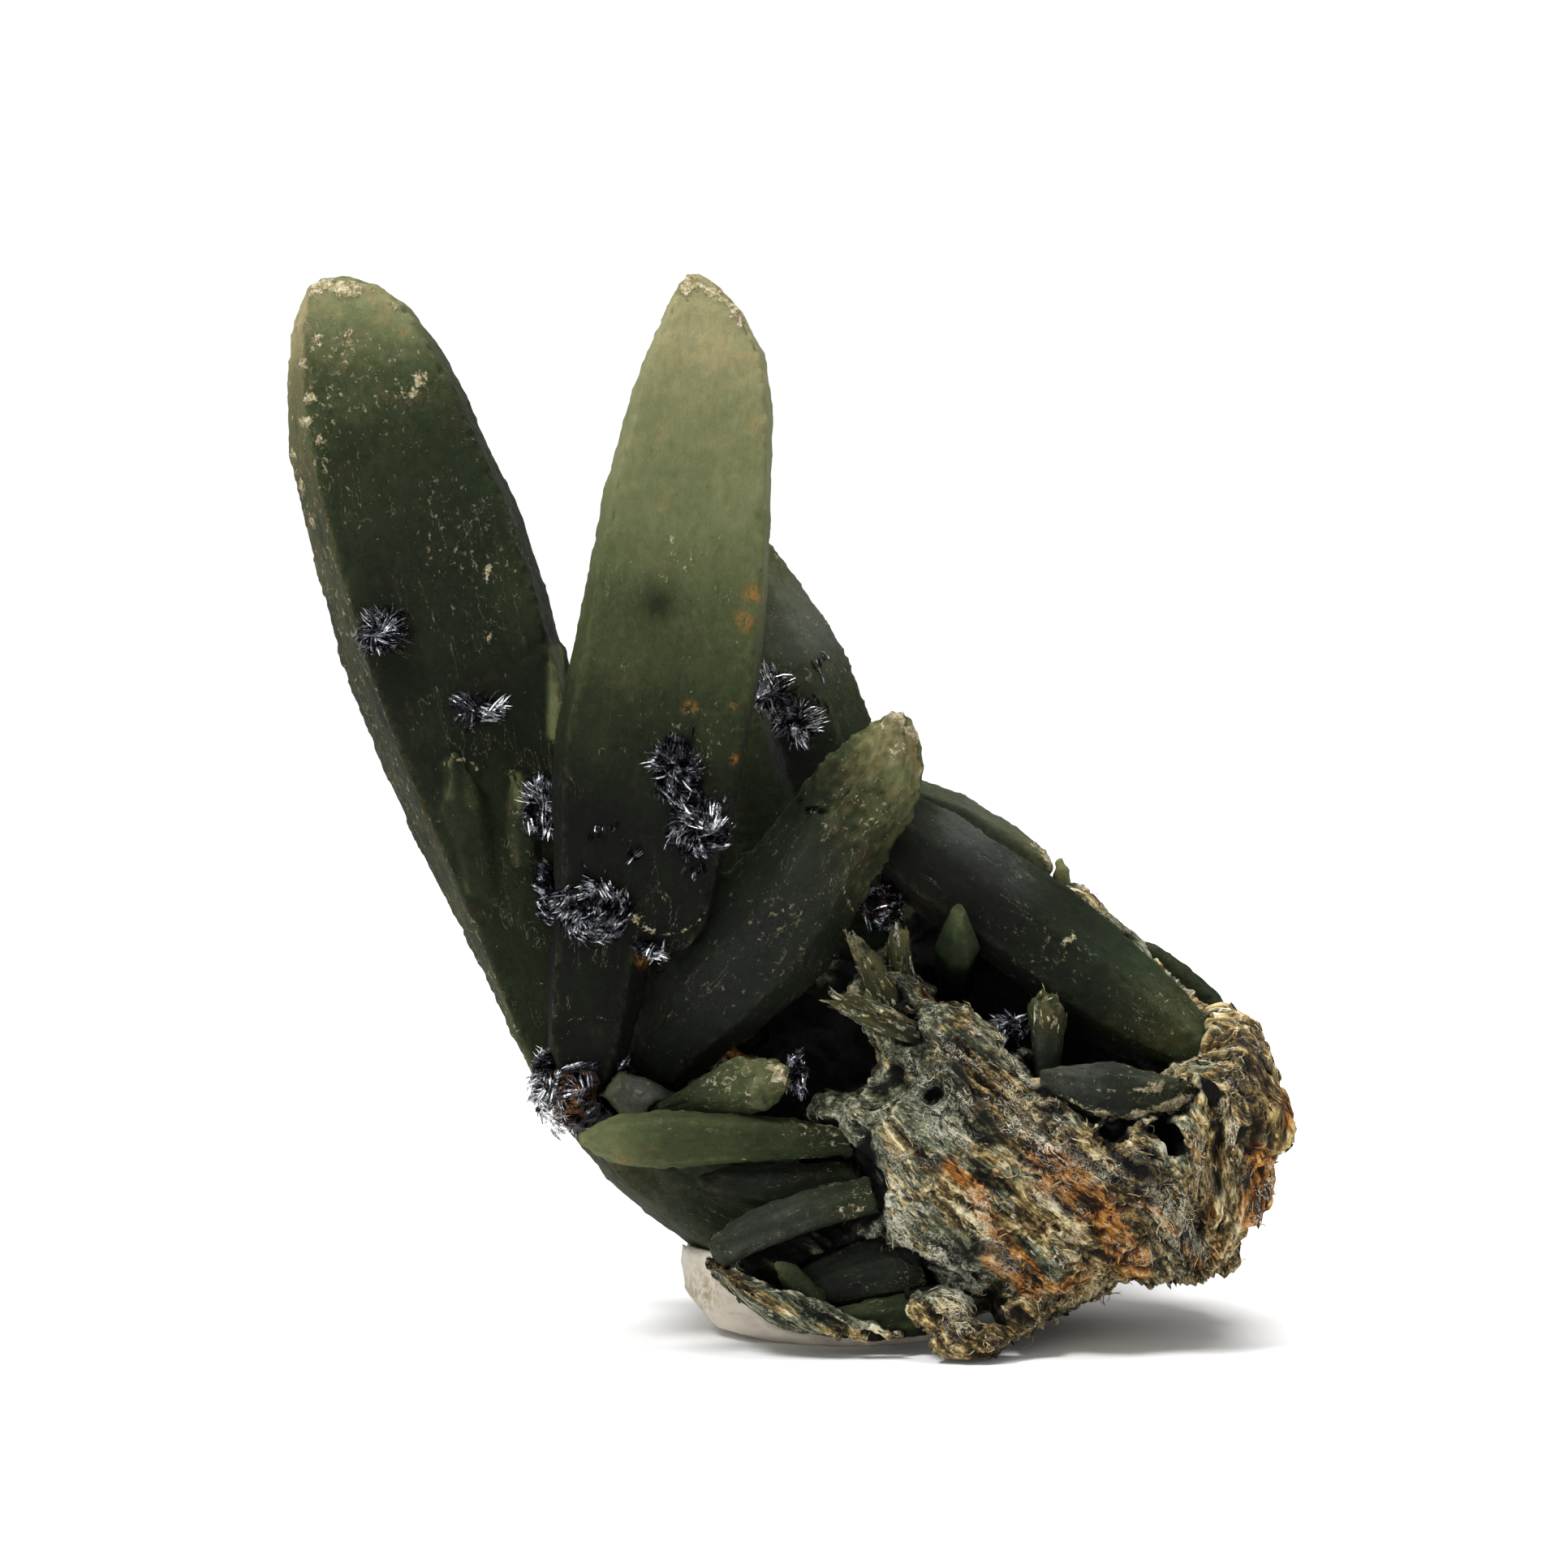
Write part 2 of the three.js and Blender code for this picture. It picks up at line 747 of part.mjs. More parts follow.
const REAR_ROCK = {
  outline: [
    [-12.6, 29.6],
    [-3, 37.6],
    [7.6, 43.2],
    [14.4, 46.4],
    [19.2, 47],
    [24.4, 47.2],
    [27.6, 45],
    [31.2, 42.4],
    [36, 38.6],
    [40.4, 35.8],
    [42.6, 33],
    [43.6, 27.2],
    [40, 17],
    [30.4, 11],
    [16, 8.6],
    [0, 8.6],
    [-7.2, 10.4],
    [-10.4, 13],
    [-11.6, 18],
    [-12.4, 23.6],
  ],
  core: [16, 26],
  depth: [7, 14, 25],
  detail: 4,
  seed: 37,
};
const RIM = {
  outline: [
    [-12, 11.6],
    [-8, 10.4],
    [-3.2, 7.6],
    [2.4, 5.4],
    [10.4, 4.4],
    [12, 2.2],
    [10.4, 1.5],
    [4.8, 1.5],
    [0, 2.6],
    [-4, 4],
    [-8, 7],
    [-10.6, 9.2],
  ],
  core: [-1, 5.4],
  depth: [-14, -11, -4],
  detail: 2,
  seed: 43,
  rough: 0.3,
};

// Lumps on the rock: the ridge that runs up behind the front crystal, and the flap under the front
const LUMPS = [
  { spot: [8.4, 34.6], depth: -2, size: [4.4, 5, 6], tilt: -30, seed: 51 },
  { spot: [14.8, 31.6], depth: -5, size: [6.4, 5.4, 3.6], tilt: 32, seed: 52 },
  { spot: [41.6, 28.6], depth: 3, size: [3.6, 6, 7], tilt: -24, seed: 53 },
  { spot: [26.4, 45.4], depth: 12, size: [2.6, 3, 1.5], tilt: 40, seed: 54 },
  { spot: [12.4, 5.4], depth: -11.5, size: [4, 4, 2.8], tilt: 10, seed: 55 },
  { spot: [15.8, 2.3], depth: -13.4, size: [4.8, 3.2, 1.7], tilt: -4, seed: 56 },
  { spot: [20.8, 5.4], depth: -9, size: [3, 5, 2.6], tilt: 20, seed: 57 },
  { spot: [2.4, 25], depth: -3, size: [3.4, 4, 2.2], tilt: 0, seed: 58 },
  { spot: [-0.6, 10], depth: -4, size: [10, 4.4, 4.2], tilt: 16, seed: 59 },
];

// Hollows in the rock's front
const ANGULAR = { planes: 5, rough: 0.14 };
const PITS = [
  { spot: [35.2, 22.6], depth: -11, size: [1.9, 6, 2.4], tilt: -30, seed: 61, ...ANGULAR },
  { spot: [30.4, 23.4], depth: -11, size: [1.9, 5, 1.3], tilt: 0, seed: 62, ...ANGULAR },
  { spot: [12, 26.2], depth: -10, size: [1.7, 3, 1.5], tilt: 10, seed: 64, ...ANGULAR },
];

const bumps = (specs) => specs.map((spec) => lump({ ...spec, at: seen(...spec.spot, spec.depth) }));

const matrixRock = (grow) => {
  const whole = union([FRONT_ROCK, REAR_ROCK, RIM].map((spec) => mass(spec)(grow)));
  const lumpy = bumps(LUMPS).reduce((body, make) => body.add(make(grow)), whole);
  return bumps(PITS).reduce((body, make) => body.subtract(make(-grow)), lumpy);
};

// The putty lump, squeezed flat underneath and bulging to the left.
function putty(grow) {
  const rings = PUTTY_RINGS.map(([height, x, y, across, deep]) =>
    Array.from({ length: PUTTY_SIDES }, (_, k) => {
      const angle = (k / PUTTY_SIDES) * 2 * Math.PI;
      return new THREE.Vector3(
        x + Math.cos(angle) * (across + grow),
        y + Math.sin(angle) * (deep + grow),
        height,
      );
    }),
  );
  return loft(rings);
}

// The pieces, in the order in which they keep their shape: each one is cut back from those before it

const crystals = (specs) => Object.entries(specs).map(([name, spec]) => [name, () => crystal(spec), "prase"]);

const PIECES = [
  ["centre_crystal", () => centreCrystal, "pale"],
  ["left_crystal", () => leftCrystal, "prase"],
  ["front_crystal", () => frontCrystal, "prase"],
  ["right_crystal", () => rightCrystal, "prase"],
  ["rear_crystal", () => rearCrystal, "prase"],
  ["right_rear_crystal", () => rightRearCrystal, "pale"],
  ["far_right_crystal", () => farRightCrystal, "prase"],
  ...crystals(LOWER),
  ...crystals(UPPER),
  ...BACK.map((spec, i) => [`back_crystal_${i + 1}`, () => spike(spec), "prase"]),
  ["trunk_crystal", () => trunkCrystal, "prase"],
  ...ROSES.map((spec, i) => [`hematite_rose_${i + 1}`, (placed) => rose(spec, placed), "hematite"]),
  ["matrix_rock", () => matrixRock, "rock"],
  ["mounting_putty", () => putty, "putty"],
];

const cluster = new THREE.Group();
const placed = new Map();
for (const [name, choose, look] of PIECES) {
  const make = choose(placed);
  const whole = make(0);
  const body = [...placed.values()].reduce((rest, other) => rest.subtract(other), whole);
  placed.set(name, whole.add(make(GAP)));
  const material = new THREE.MeshStandardMaterial({
    color: COLOUR[look],
    flatShading: true,
    ...FINISH[look],
  });
  const mesh = new THREE.Mesh(geometryFrom(largest(body)), material);
  mesh.name = name;
  cluster.add(mesh);
}

export default cluster;
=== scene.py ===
"""The looks of the prase quartz crystal cluster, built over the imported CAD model.

Each CAD node is replaced by a finer copy of its own shape: an even net of points that numpy moves
by noise (growth lines, chipped edges, crusts, fibres, pits). Sizes are millimetres, and metres for
the floor and the lamps. The marks on the pieces are placed by pixels of the photo.
"""
import json
import math

import bpy
import numpy as np
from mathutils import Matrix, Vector
from mathutils.bvhtree import BVHTree


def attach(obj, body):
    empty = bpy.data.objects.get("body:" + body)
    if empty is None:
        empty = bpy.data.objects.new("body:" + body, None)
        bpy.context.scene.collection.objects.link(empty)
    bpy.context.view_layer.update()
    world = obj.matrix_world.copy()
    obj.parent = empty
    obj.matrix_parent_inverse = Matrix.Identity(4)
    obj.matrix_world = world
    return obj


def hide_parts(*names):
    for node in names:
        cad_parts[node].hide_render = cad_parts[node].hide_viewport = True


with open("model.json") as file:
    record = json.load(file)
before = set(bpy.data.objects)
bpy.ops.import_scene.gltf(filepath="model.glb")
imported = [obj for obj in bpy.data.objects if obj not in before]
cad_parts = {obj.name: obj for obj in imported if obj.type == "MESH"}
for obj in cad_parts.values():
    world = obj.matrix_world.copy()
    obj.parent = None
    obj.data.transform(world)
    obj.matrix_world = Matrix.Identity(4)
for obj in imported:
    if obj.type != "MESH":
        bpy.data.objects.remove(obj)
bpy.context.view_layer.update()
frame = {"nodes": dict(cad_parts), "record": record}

SLOTS = {part["node"]: part["material_slot"] for part in frame["record"]["subparts"]}
MM = 1000   # millimetres in a metre
scene = bpy.context.scene
chance = np.random.default_rng(41)

# The photo's view

EYE = np.array([-6.7, -563.0, 101.9])
AIM = np.array([-6.7, -3.0, 55.0])
AIM_IN_VIEW = (-2.7, 57.1)
AHEAD = (AIM - EYE) / np.linalg.norm(AIM - EYE)
UPWARD = np.cross([1, 0, 0], AHEAD)
PIXELS_PER_MM = 12.5
PHOTO_ORIGIN = (1000, 1680)   # the pixel at across 0 and up 0


def seen(across, up, depth):
    """The point at a place of the front view, `depth` behind the view's plane."""
    place = AIM + UPWARD * (up - AIM_IN_VIEW[1])
    place[0] += across - AIM_IN_VIEW[0]
    place = place - EYE
    place *= (AIM[1] - EYE[1]) / place[1]
    return place * (1 + depth / (AIM[1] - EYE[1])) + EYE


def in_view(points):
    """Where points show in the front view: across and up."""
    away = points - EYE
    place = EYE + away * (np.linalg.norm(AIM - EYE) / (away @ AHEAD))[:, None] - AIM
    return np.stack([place[:, 0], place @ UPWARD], axis=1) + AIM_IN_VIEW


def pixel(x, y):
    """A pixel of the photo as a place of the front view."""
    return (x - PHOTO_ORIGIN[0]) / PIXELS_PER_MM, (PHOTO_ORIGIN[1] - y) / PIXELS_PER_MM


def spot(places, middle, radius, power=2):
    """1 in the middle, falling to 0 around it. places and middle lie in the front view."""
    return np.exp(-(np.linalg.norm(places - middle, axis=1) / radius) ** power)


def bands(points, lines, power=2):
    """How near points lie, in the view, to lines of (half width, strength, pixel, pixel ...)."""
    places = in_view(points)
    total = np.zeros(len(places))
    for wide, strength, *line in lines:
        nearest = np.full(len(places), np.inf)
        line = np.array([pixel(*stop) for stop in line])
        for start, way in zip(line, np.diff(line, axis=0)):
            share = np.clip((places - start) @ way / (way @ way), 0, 1)
            nearest = np.minimum(nearest, np.linalg.norm(places - start - share[:, None] * way, axis=1))
        total += strength * np.exp(-(nearest / (wide / PIXELS_PER_MM)) ** power)
    return total


# Noise

DIRECTIONS = chance.normal(size=(256, 3))
DIRECTIONS /= np.linalg.norm(DIRECTIONS, axis=1)[:, None]


def scramble(cell, seed):
    """A number without order for each cell of a grid."""
    key = cell[:, 0] * 73856093 ^ cell[:, 1] * 19349663 ^ cell[:, 2] * 83492791 ^ seed * 6542989
    key = (key ^ key >> 15) * 668265263 & 0xFFFFFFFF
    return key ^ key >> 13


def noise(points, size, seed=0):
    """Smooth noise from about -1 to 1, with bumps `size` across."""
    place = points / size + 0.37 * seed
    cell = np.floor(place).astype(np.int64)
    part = place - cell
    fade = part ** 3 * (part * (part * 6 - 15) + 10)
    total = np.zeros(len(points))
    for corner in np.ndindex(2, 2, 2):
        side = np.array(corner)
        slope = DIRECTIONS[scramble(cell + side, seed) & 255]
        weight = np.prod(np.where(side, fade, 1 - fade), axis=1)
        total += weight * np.sum(slope * (part - side), axis=1)
    return total * 1.8


def layered(points, size, seed=0, layers=3):
    """Noise with finer and finer layers."""
    total = sum(noise(points, size / 2 ** step, seed + step) / 2 ** step for step in range(layers))
    return total / 1.5


def rise(low, high, values):
    """0 below low, 1 above high, smooth between."""
    share = np.clip((values - low) / (high - low), 0, 1)
    return share * share * (3 - 2 * share)


# Meshes

def unit(vectors):
    return vectors / np.maximum(np.linalg.norm(vectors, axis=-1, keepdims=True), 1e-9)


def in_surface(ways, normals):
    """The part of each way that lies in the surface with this normal."""
    return ways - normals * np.sum(ways * normals, axis=-1, keepdims=True)


def crossed(corner):
    """Each quad's normal, whose length is twice the quad's area."""
    return np.cross(corner[:, 2] - corner[:, 0], corner[:, 3] - corner[:, 1])


def pick(corner, count, favour):
    """Random quads, each as likely as its area times its favour."""
    weight = np.linalg.norm(crossed(corner), axis=1) * favour
    return chance.choice(len(weight), count, p=weight / weight.sum())


class Skin:
    """A node's shape as an even net of points and quads."""

    def __init__(self, node, spacing):
        body = bpy.data.objects.new("net", frame["nodes"][node].data.copy())
        scene.collection.objects.link(body)
        remesh = body.modifiers.new("Remesh", "REMESH")
        remesh.mode = "VOXEL"
        remesh.voxel_size = spacing / MM
        even = body.evaluated_get(bpy.context.evaluated_depsgraph_get()).to_mesh()
        points = np.empty(len(even.vertices) * 3)
        even.vertices.foreach_get("co", points)
        corners = np.empty(len(even.loops), dtype=np.int64)
        even.loops.foreach_get("vertex_index", corners)
        self.points = points.reshape(-1, 3) * MM
        self.quads = corners.reshape(-1, 4)
        bpy.data.objects.remove(body)
        pairs = np.sort(self.quads[:, [0, 1, 1, 2, 2, 3, 3, 0]].reshape(-1, 2), axis=1)
        count = len(self.points)
        codes = np.unique(pairs[:, 0] * count + pairs[:, 1])
        self.first, self.second = codes // count, codes % count
        self.touching = np.bincount(self.first, minlength=count) + np.bincount(self.second, minlength=count)

    def around(self, values):
        """The mean of each point's neighbours."""
        count = len(self.points)
        if values.ndim == 1:
            total = (np.bincount(self.first, values[self.second], count)
                     + np.bincount(self.second, values[self.first], count))
            return total / self.touching
        return np.stack([self.around(values[:, axis]) for axis in range(values.shape[1])], axis=1)

    def soften(self, times, values=None):
        """Smooths the points, or values on them.

        Each step of the points goes back out a little farther than in, to keep the size.
        """
        if values is not None:
            for _ in range(times):
                values = 0.5 * values + 0.5 * self.around(values)
            return values
        for _ in range(times):
            self.points += 0.5 * (self.around(self.points) - self.points)
            self.points -= 0.52 * (self.around(self.points) - self.points)

    def normals(self):
        face = crossed(self.points[self.quads])
        total = np.stack([np.bincount(self.quads.ravel(), np.repeat(face[:, axis], 4), len(self.points))
                          for axis in range(3)], axis=1)
        return unit(total)

    def bulge(self, reach):
        """How far each point stands out from its surroundings: edges and tips are positive."""
        flat = self.points
        for _ in range(reach):
            flat = 0.5 * flat + 0.5 * self.around(flat)
        return np.sum((self.points - flat) * self.normals(), axis=1)


def build(name, slot, material, points, faces, smooth=True, replaces=None, **values):
    """A piece from arrays in millimetres. faces is a list of arrays, one row for each face."""
    mesh = bpy.data.meshes.new(name)
    mesh.vertices.add(len(points))
    mesh.vertices.foreach_set("co", (points / MM).ravel())
    corners = np.concatenate([rows.ravel() for rows in faces])
    sizes = np.concatenate([np.full(len(rows), rows.shape[1]) for rows in faces])
    mesh.loops.add(len(corners))
    mesh.loops.foreach_set("vertex_index", corners)
    mesh.polygons.add(len(sizes))
    mesh.polygons.foreach_set("loop_start", np.concatenate([[0], np.cumsum(sizes)[:-1]]))
    mesh.polygons.foreach_set("use_smooth", np.full(len(sizes), smooth))
    mesh.update(calc_edges=True)
    for key, data in values.items():
        if data.ndim == 2:
            mesh.attributes.new(key, "FLOAT_VECTOR", "POINT").data.foreach_set("vector", data.ravel())
        else:
            mesh.attributes.new(key, "FLOAT", "POINT").data.foreach_set("value", data)
    mesh.materials.append(material)
    piece = bpy.data.objects.new(name, mesh)
    scene.collection.objects.link(piece)
    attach(piece, "root")
    if replaces:
        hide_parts(replaces)
    return piece


def tube_faces(count, size, sides):
    """Triangles and quads of tubes that are pointed at both ends, each of size points."""
    last = size - 1
    turns = [(k, (k + 1) % sides) for k in range(sides)]
    three = [[0, 1 + after, 1 + k] for k, after in turns]
    three += [[last, last - sides + k, last - sides + after] for k, after in turns]
    four = [[ring + k, ring + after, ring + sides + after, ring + sides + k]
            for ring in range(1, last - sides, sides) for k, after in turns]
    base = (np.arange(count) * size)[:, None]
    return tuple(np.concatenate([base + np.array([face]) for face in faces]) for faces in (three, four))


STRAND_CORNERS = (0.5, 2.6, 4.7)   # radians around a strand


def strands(lines, sides, widths, flatness):
    """Thin three-sided strands, pointed at both ends. lines: strand, station, xyz."""
    third = np.cross(unit(lines[:, -1] - lines[:, 0]), sides)
    parts = [lines[:, :1]]
    for station in range(1, lines.shape[1] - 1):
        for turn in STRAND_CORNERS:
            across = sides * (widths * math.cos(turn))[:, None]
            across += third * (widths * flatness * math.sin(turn))[:, None]
            parts.append((lines[:, station] + across)[:, None])
    points = np.concatenate(parts + [lines[:, -1:]], axis=1)
    return points.reshape(-1, 3), *tube_faces(len(lines), points.shape[1], 3)


# Node materials

class Value:
    """A node's output. + - * make math nodes of it, and vector math nodes with a tuple."""

    def __init__(self, look, socket):
        self.look, self.socket = look, socket

    def __add__(self, other):
        return self.look.math("ADD", self, other)

    def __sub__(self, other):
        return self.look.math("SUBTRACT", self, other)

    def __mul__(self, other):
        return self.look.math("MULTIPLY", self, other)


class Shader:
    """A material whose nodes are made by short calls, each of which gives a Value."""

    def __init__(self, name, **settings):
        self.material = bpy.data.materials.new(name)
        self.material.use_nodes = True
        self.tree = self.material.node_tree
        self.tree.nodes.clear()
        output = self.tree.nodes.new("ShaderNodeOutputMaterial")
        self.surface = self.tree.nodes.new("ShaderNodeBsdfPrincipled")
        self.tree.links.new(self.surface.outputs[0], output.inputs[0])
        for socket, value in settings.items():
            self.set(socket.replace("_", " ").title().replace("Ior", "IOR"), value)

    def node(self, kind, sockets, output=0, **settings):
        node = self.tree.nodes.new(kind)
        for key, value in settings.items():
            setattr(node, key, value)
        for socket, value in sockets.items():
            self.join(node.inputs[socket], value)
        return Value(self, node.outputs[output])

    def join(self, socket, value):
        if isinstance(value, Value):
            self.tree.links.new(value.socket, socket)
        elif isinstance(value, tuple) and socket.type == "RGBA":
            socket.default_value = (*value, 1)
        else:
            socket.default_value = value

    def set(self, socket, value):
        self.join(self.surface.inputs[socket], value)

    def value(self, name, output="Fac"):
        """A value that the mesh was built with."""
        return self.node("ShaderNodeAttribute", {}, output, attribute_name=name)

    def place(self):
        """Millimetres in the object's own frame."""
        return self.node("ShaderNodeTexCoord", {}, "Object") * (MM, MM, MM)

    def noise(self, vector, per_mm, detail=3.0, rough=0.55, twist=0.0):
        return self.node("ShaderNodeTexNoise", {"Vector": vector, "Scale": per_mm, "Detail": detail,
                                                "Roughness": rough, "Distortion": twist}, "Fac")

    def math(self, operation, first, second=0.0):
        kind = "ShaderNodeVectorMath" if isinstance(second, tuple) else "ShaderNodeMath"
        return self.node(kind, {0: first, 1: second}, operation=operation)

    def total(self, *layers):
        """The sum of (noise, weight) layers, each about zero."""
        parts = [(value - 0.5) * weight for value, weight in layers]
        whole = parts[0]
        for part in parts[1:]:
            whole = whole + part
        return whole

    def rise(self, value, low, high, start=0.0, end=1.0):
        """start below low, end above high, smooth between."""
        return self.node("ShaderNodeMapRange", {"Value": value, "From Min": low, "From Max": high,
                                                "To Min": start, "To Max": end},
                         interpolation_type="SMOOTHSTEP")

    def mix(self, share, first, second):
        return self.node("ShaderNodeMix", {0: share, 6: first, 7: second}, 2, data_type="RGBA")

    def ramp(self, value, *stops):
        """Colours along a value. stops: at, red, green, blue."""
        ramp = self.node("ShaderNodeValToRGB", {0: value})
        points = ramp.socket.node.color_ramp.elements
        for index, (at, *colour) in enumerate(stops):
            point = points[index] if index < 2 else points.new(at)
            point.position = at
            point.color = (*colour, 1)
        return ramp

    def bump(self, *layers):
        """Bump from (height, millimetres) layers, one over the other."""
        normal = {}
        for height, depth in layers:
            sockets = {"Height": height, "Distance": depth / MM, "Strength": 1.0, **normal}
            normal = {"Normal": self.node("ShaderNodeBump", sockets)}
        self.set("Normal", normal["Normal"])


def prase_material():
    """Green quartz. The value tone gives the shade of green, crust, stain and others what lies on it."""
    look = Shader("prase_quartz", ior=1.54, specular_ior_level=0.02)
    grain, tone, specks = look.value("grain", "Vector"), look.value("tone"), look.value("specks")
    cloud = look.noise(grain * (0.8, 0.8, 0.4), 0.32, 4.0, 0.55)
    mottle = look.noise(grain * (1, 1, 0.75), 1.3, 7.0, 0.75, 0.3)
    streak = look.noise(grain * (1, 1, 0.12), 1.8, 4.0, 0.6)
    fine = look.noise(grain * (1, 1, 0.8), 4.0, 4.0, 0.8)
    shift = look.total((cloud, 0.24), (mottle, 0.36), (streak, 0.06), (fine, 0.24))
    value = tone - 0.02 + shift * look.rise(tone, 0.35, 0.9, 1.0, 0.5)
    colour = look.ramp(value, (0.0, 0.0070, 0.0073, 0.0066), (0.20, 0.0105, 0.0130, 0.0078),
                       (0.40, 0.021, 0.028, 0.013), (0.55, 0.045, 0.055, 0.024), (0.70, 0.090, 0.104, 0.046),
                       (0.85, 0.165, 0.175, 0.082), (1.0, 0.29, 0.272, 0.142))
    slate = look.ramp(value, (0.0, 0.0075, 0.0078, 0.0077), (0.40, 0.026, 0.028, 0.026),
                      (0.70, 0.10, 0.108, 0.096), (1.0, 0.30, 0.30, 0.26))
    green = look.ramp(value, (0.0, 0.0065, 0.0090, 0.0062), (0.40, 0.020, 0.036, 0.017),
                      (0.70, 0.078, 0.125, 0.060), (1.0, 0.25, 0.32, 0.18))
    brown = look.ramp(value, (0.0, 0.0078, 0.0070, 0.0058), (0.40, 0.033, 0.030, 0.014),
                      (0.70, 0.125, 0.112, 0.050), (1.0, 0.34, 0.285, 0.145))
    patches = look.noise(grain + (40.0, 40.0, 40.0), 0.35, 7.0, 0.7, 0.5)
    patch = look.value("warm") + look.total((patches, 3.2))
    colour = look.mix(look.rise(patch, 0.3, 0.9, 0.0, 0.85), colour, brown)
    colour = look.mix(look.value("slate"), colour, slate)
    colour = look.mix(look.value("green"), colour, green)
    # pale flakes, and thin healed cracks
    flake = look.noise(grain * (1, 1, 0.8), 1.5, 6.0, 0.68, 0.5) + specks * 0.14
    dust = look.noise(grain, 3.4, 4.0, 0.8) + specks * 0.10
    speck = look.math("MAXIMUM", look.rise(flake, 0.665, 0.685), look.rise(dust, 0.70, 0.73, 0, 0.7))
    paint = look.ramp(look.noise(grain, 2.4, 3.0, 0.7), (0.38, 0.085, 0.085, 0.045),
                      (0.5, 0.20, 0.185, 0.105), (0.64, 0.42, 0.39, 0.27))
    paint = look.mix(look.rise(value, 0.0, 0.55, 0.22, 1.0), (0.018, 0.019, 0.013), paint)
    colour = look.mix(speck * 0.8, colour, paint)
    wave = look.noise(grain * (1, 1, 0.22), 0.5, 4.0, 0.6, 0.6)
    crack = look.rise(look.math("ABSOLUTE", wave - 0.5), 0.0015, 0.0055, 1, 0)
    where = look.rise(look.noise(grain, 0.19, 2.0, 0.5), 0.52, 0.58) * look.rise(fine, 0.42, 0.56, 0, 0.7)
    colour = look.mix(crack * where, colour, (0.19, 0.19, 0.12))
    # worn edges, crusts and rust
    edge = look.value("edge") * look.rise(look.noise(grain, 1.3, 5.0, 0.7), 0.42, 0.62)
    colour = look.mix(edge * 0.3, colour, (0.12, 0.115, 0.060))
    islands = (look.noise(grain * (1, 1, 0.75), 2.0, 7.0, 0.8) - 0.5) * 1.9
    crust = look.rise(look.value("crust") + islands, 0.52, 0.62)
    tans = look.ramp(look.noise(grain, 2.2, 6.0, 0.85), (0.36, 0.10, 0.080, 0.034), (0.45, 0.26, 0.21, 0.10),
                     (0.52, 0.45, 0.39, 0.22), (0.58, 0.72, 0.67, 0.50), (0.66, 0.88, 0.86, 0.76))
    colour = look.mix(crust * 0.92, colour, tans)
    stain = look.value("stain") * look.rise(look.noise(grain, 1.4, 5.0, 0.75), 0.44, 0.58)
    look.set("Base Color", look.mix(stain, colour, (0.30, 0.135, 0.03)))
    look.set("Roughness", look.rise(mottle, 0.35, 0.65, 0.44, 0.62) + crust * 0.3)
    grains = look.noise(grain, 3.4, 4.0, 0.75) * look.rise(crust, 0, 1, 0.3, 1.0)
    look.bump((mottle, 0.35), (streak, 0.08), (grains, 0.28), (speck, 0.05))
    return look.material


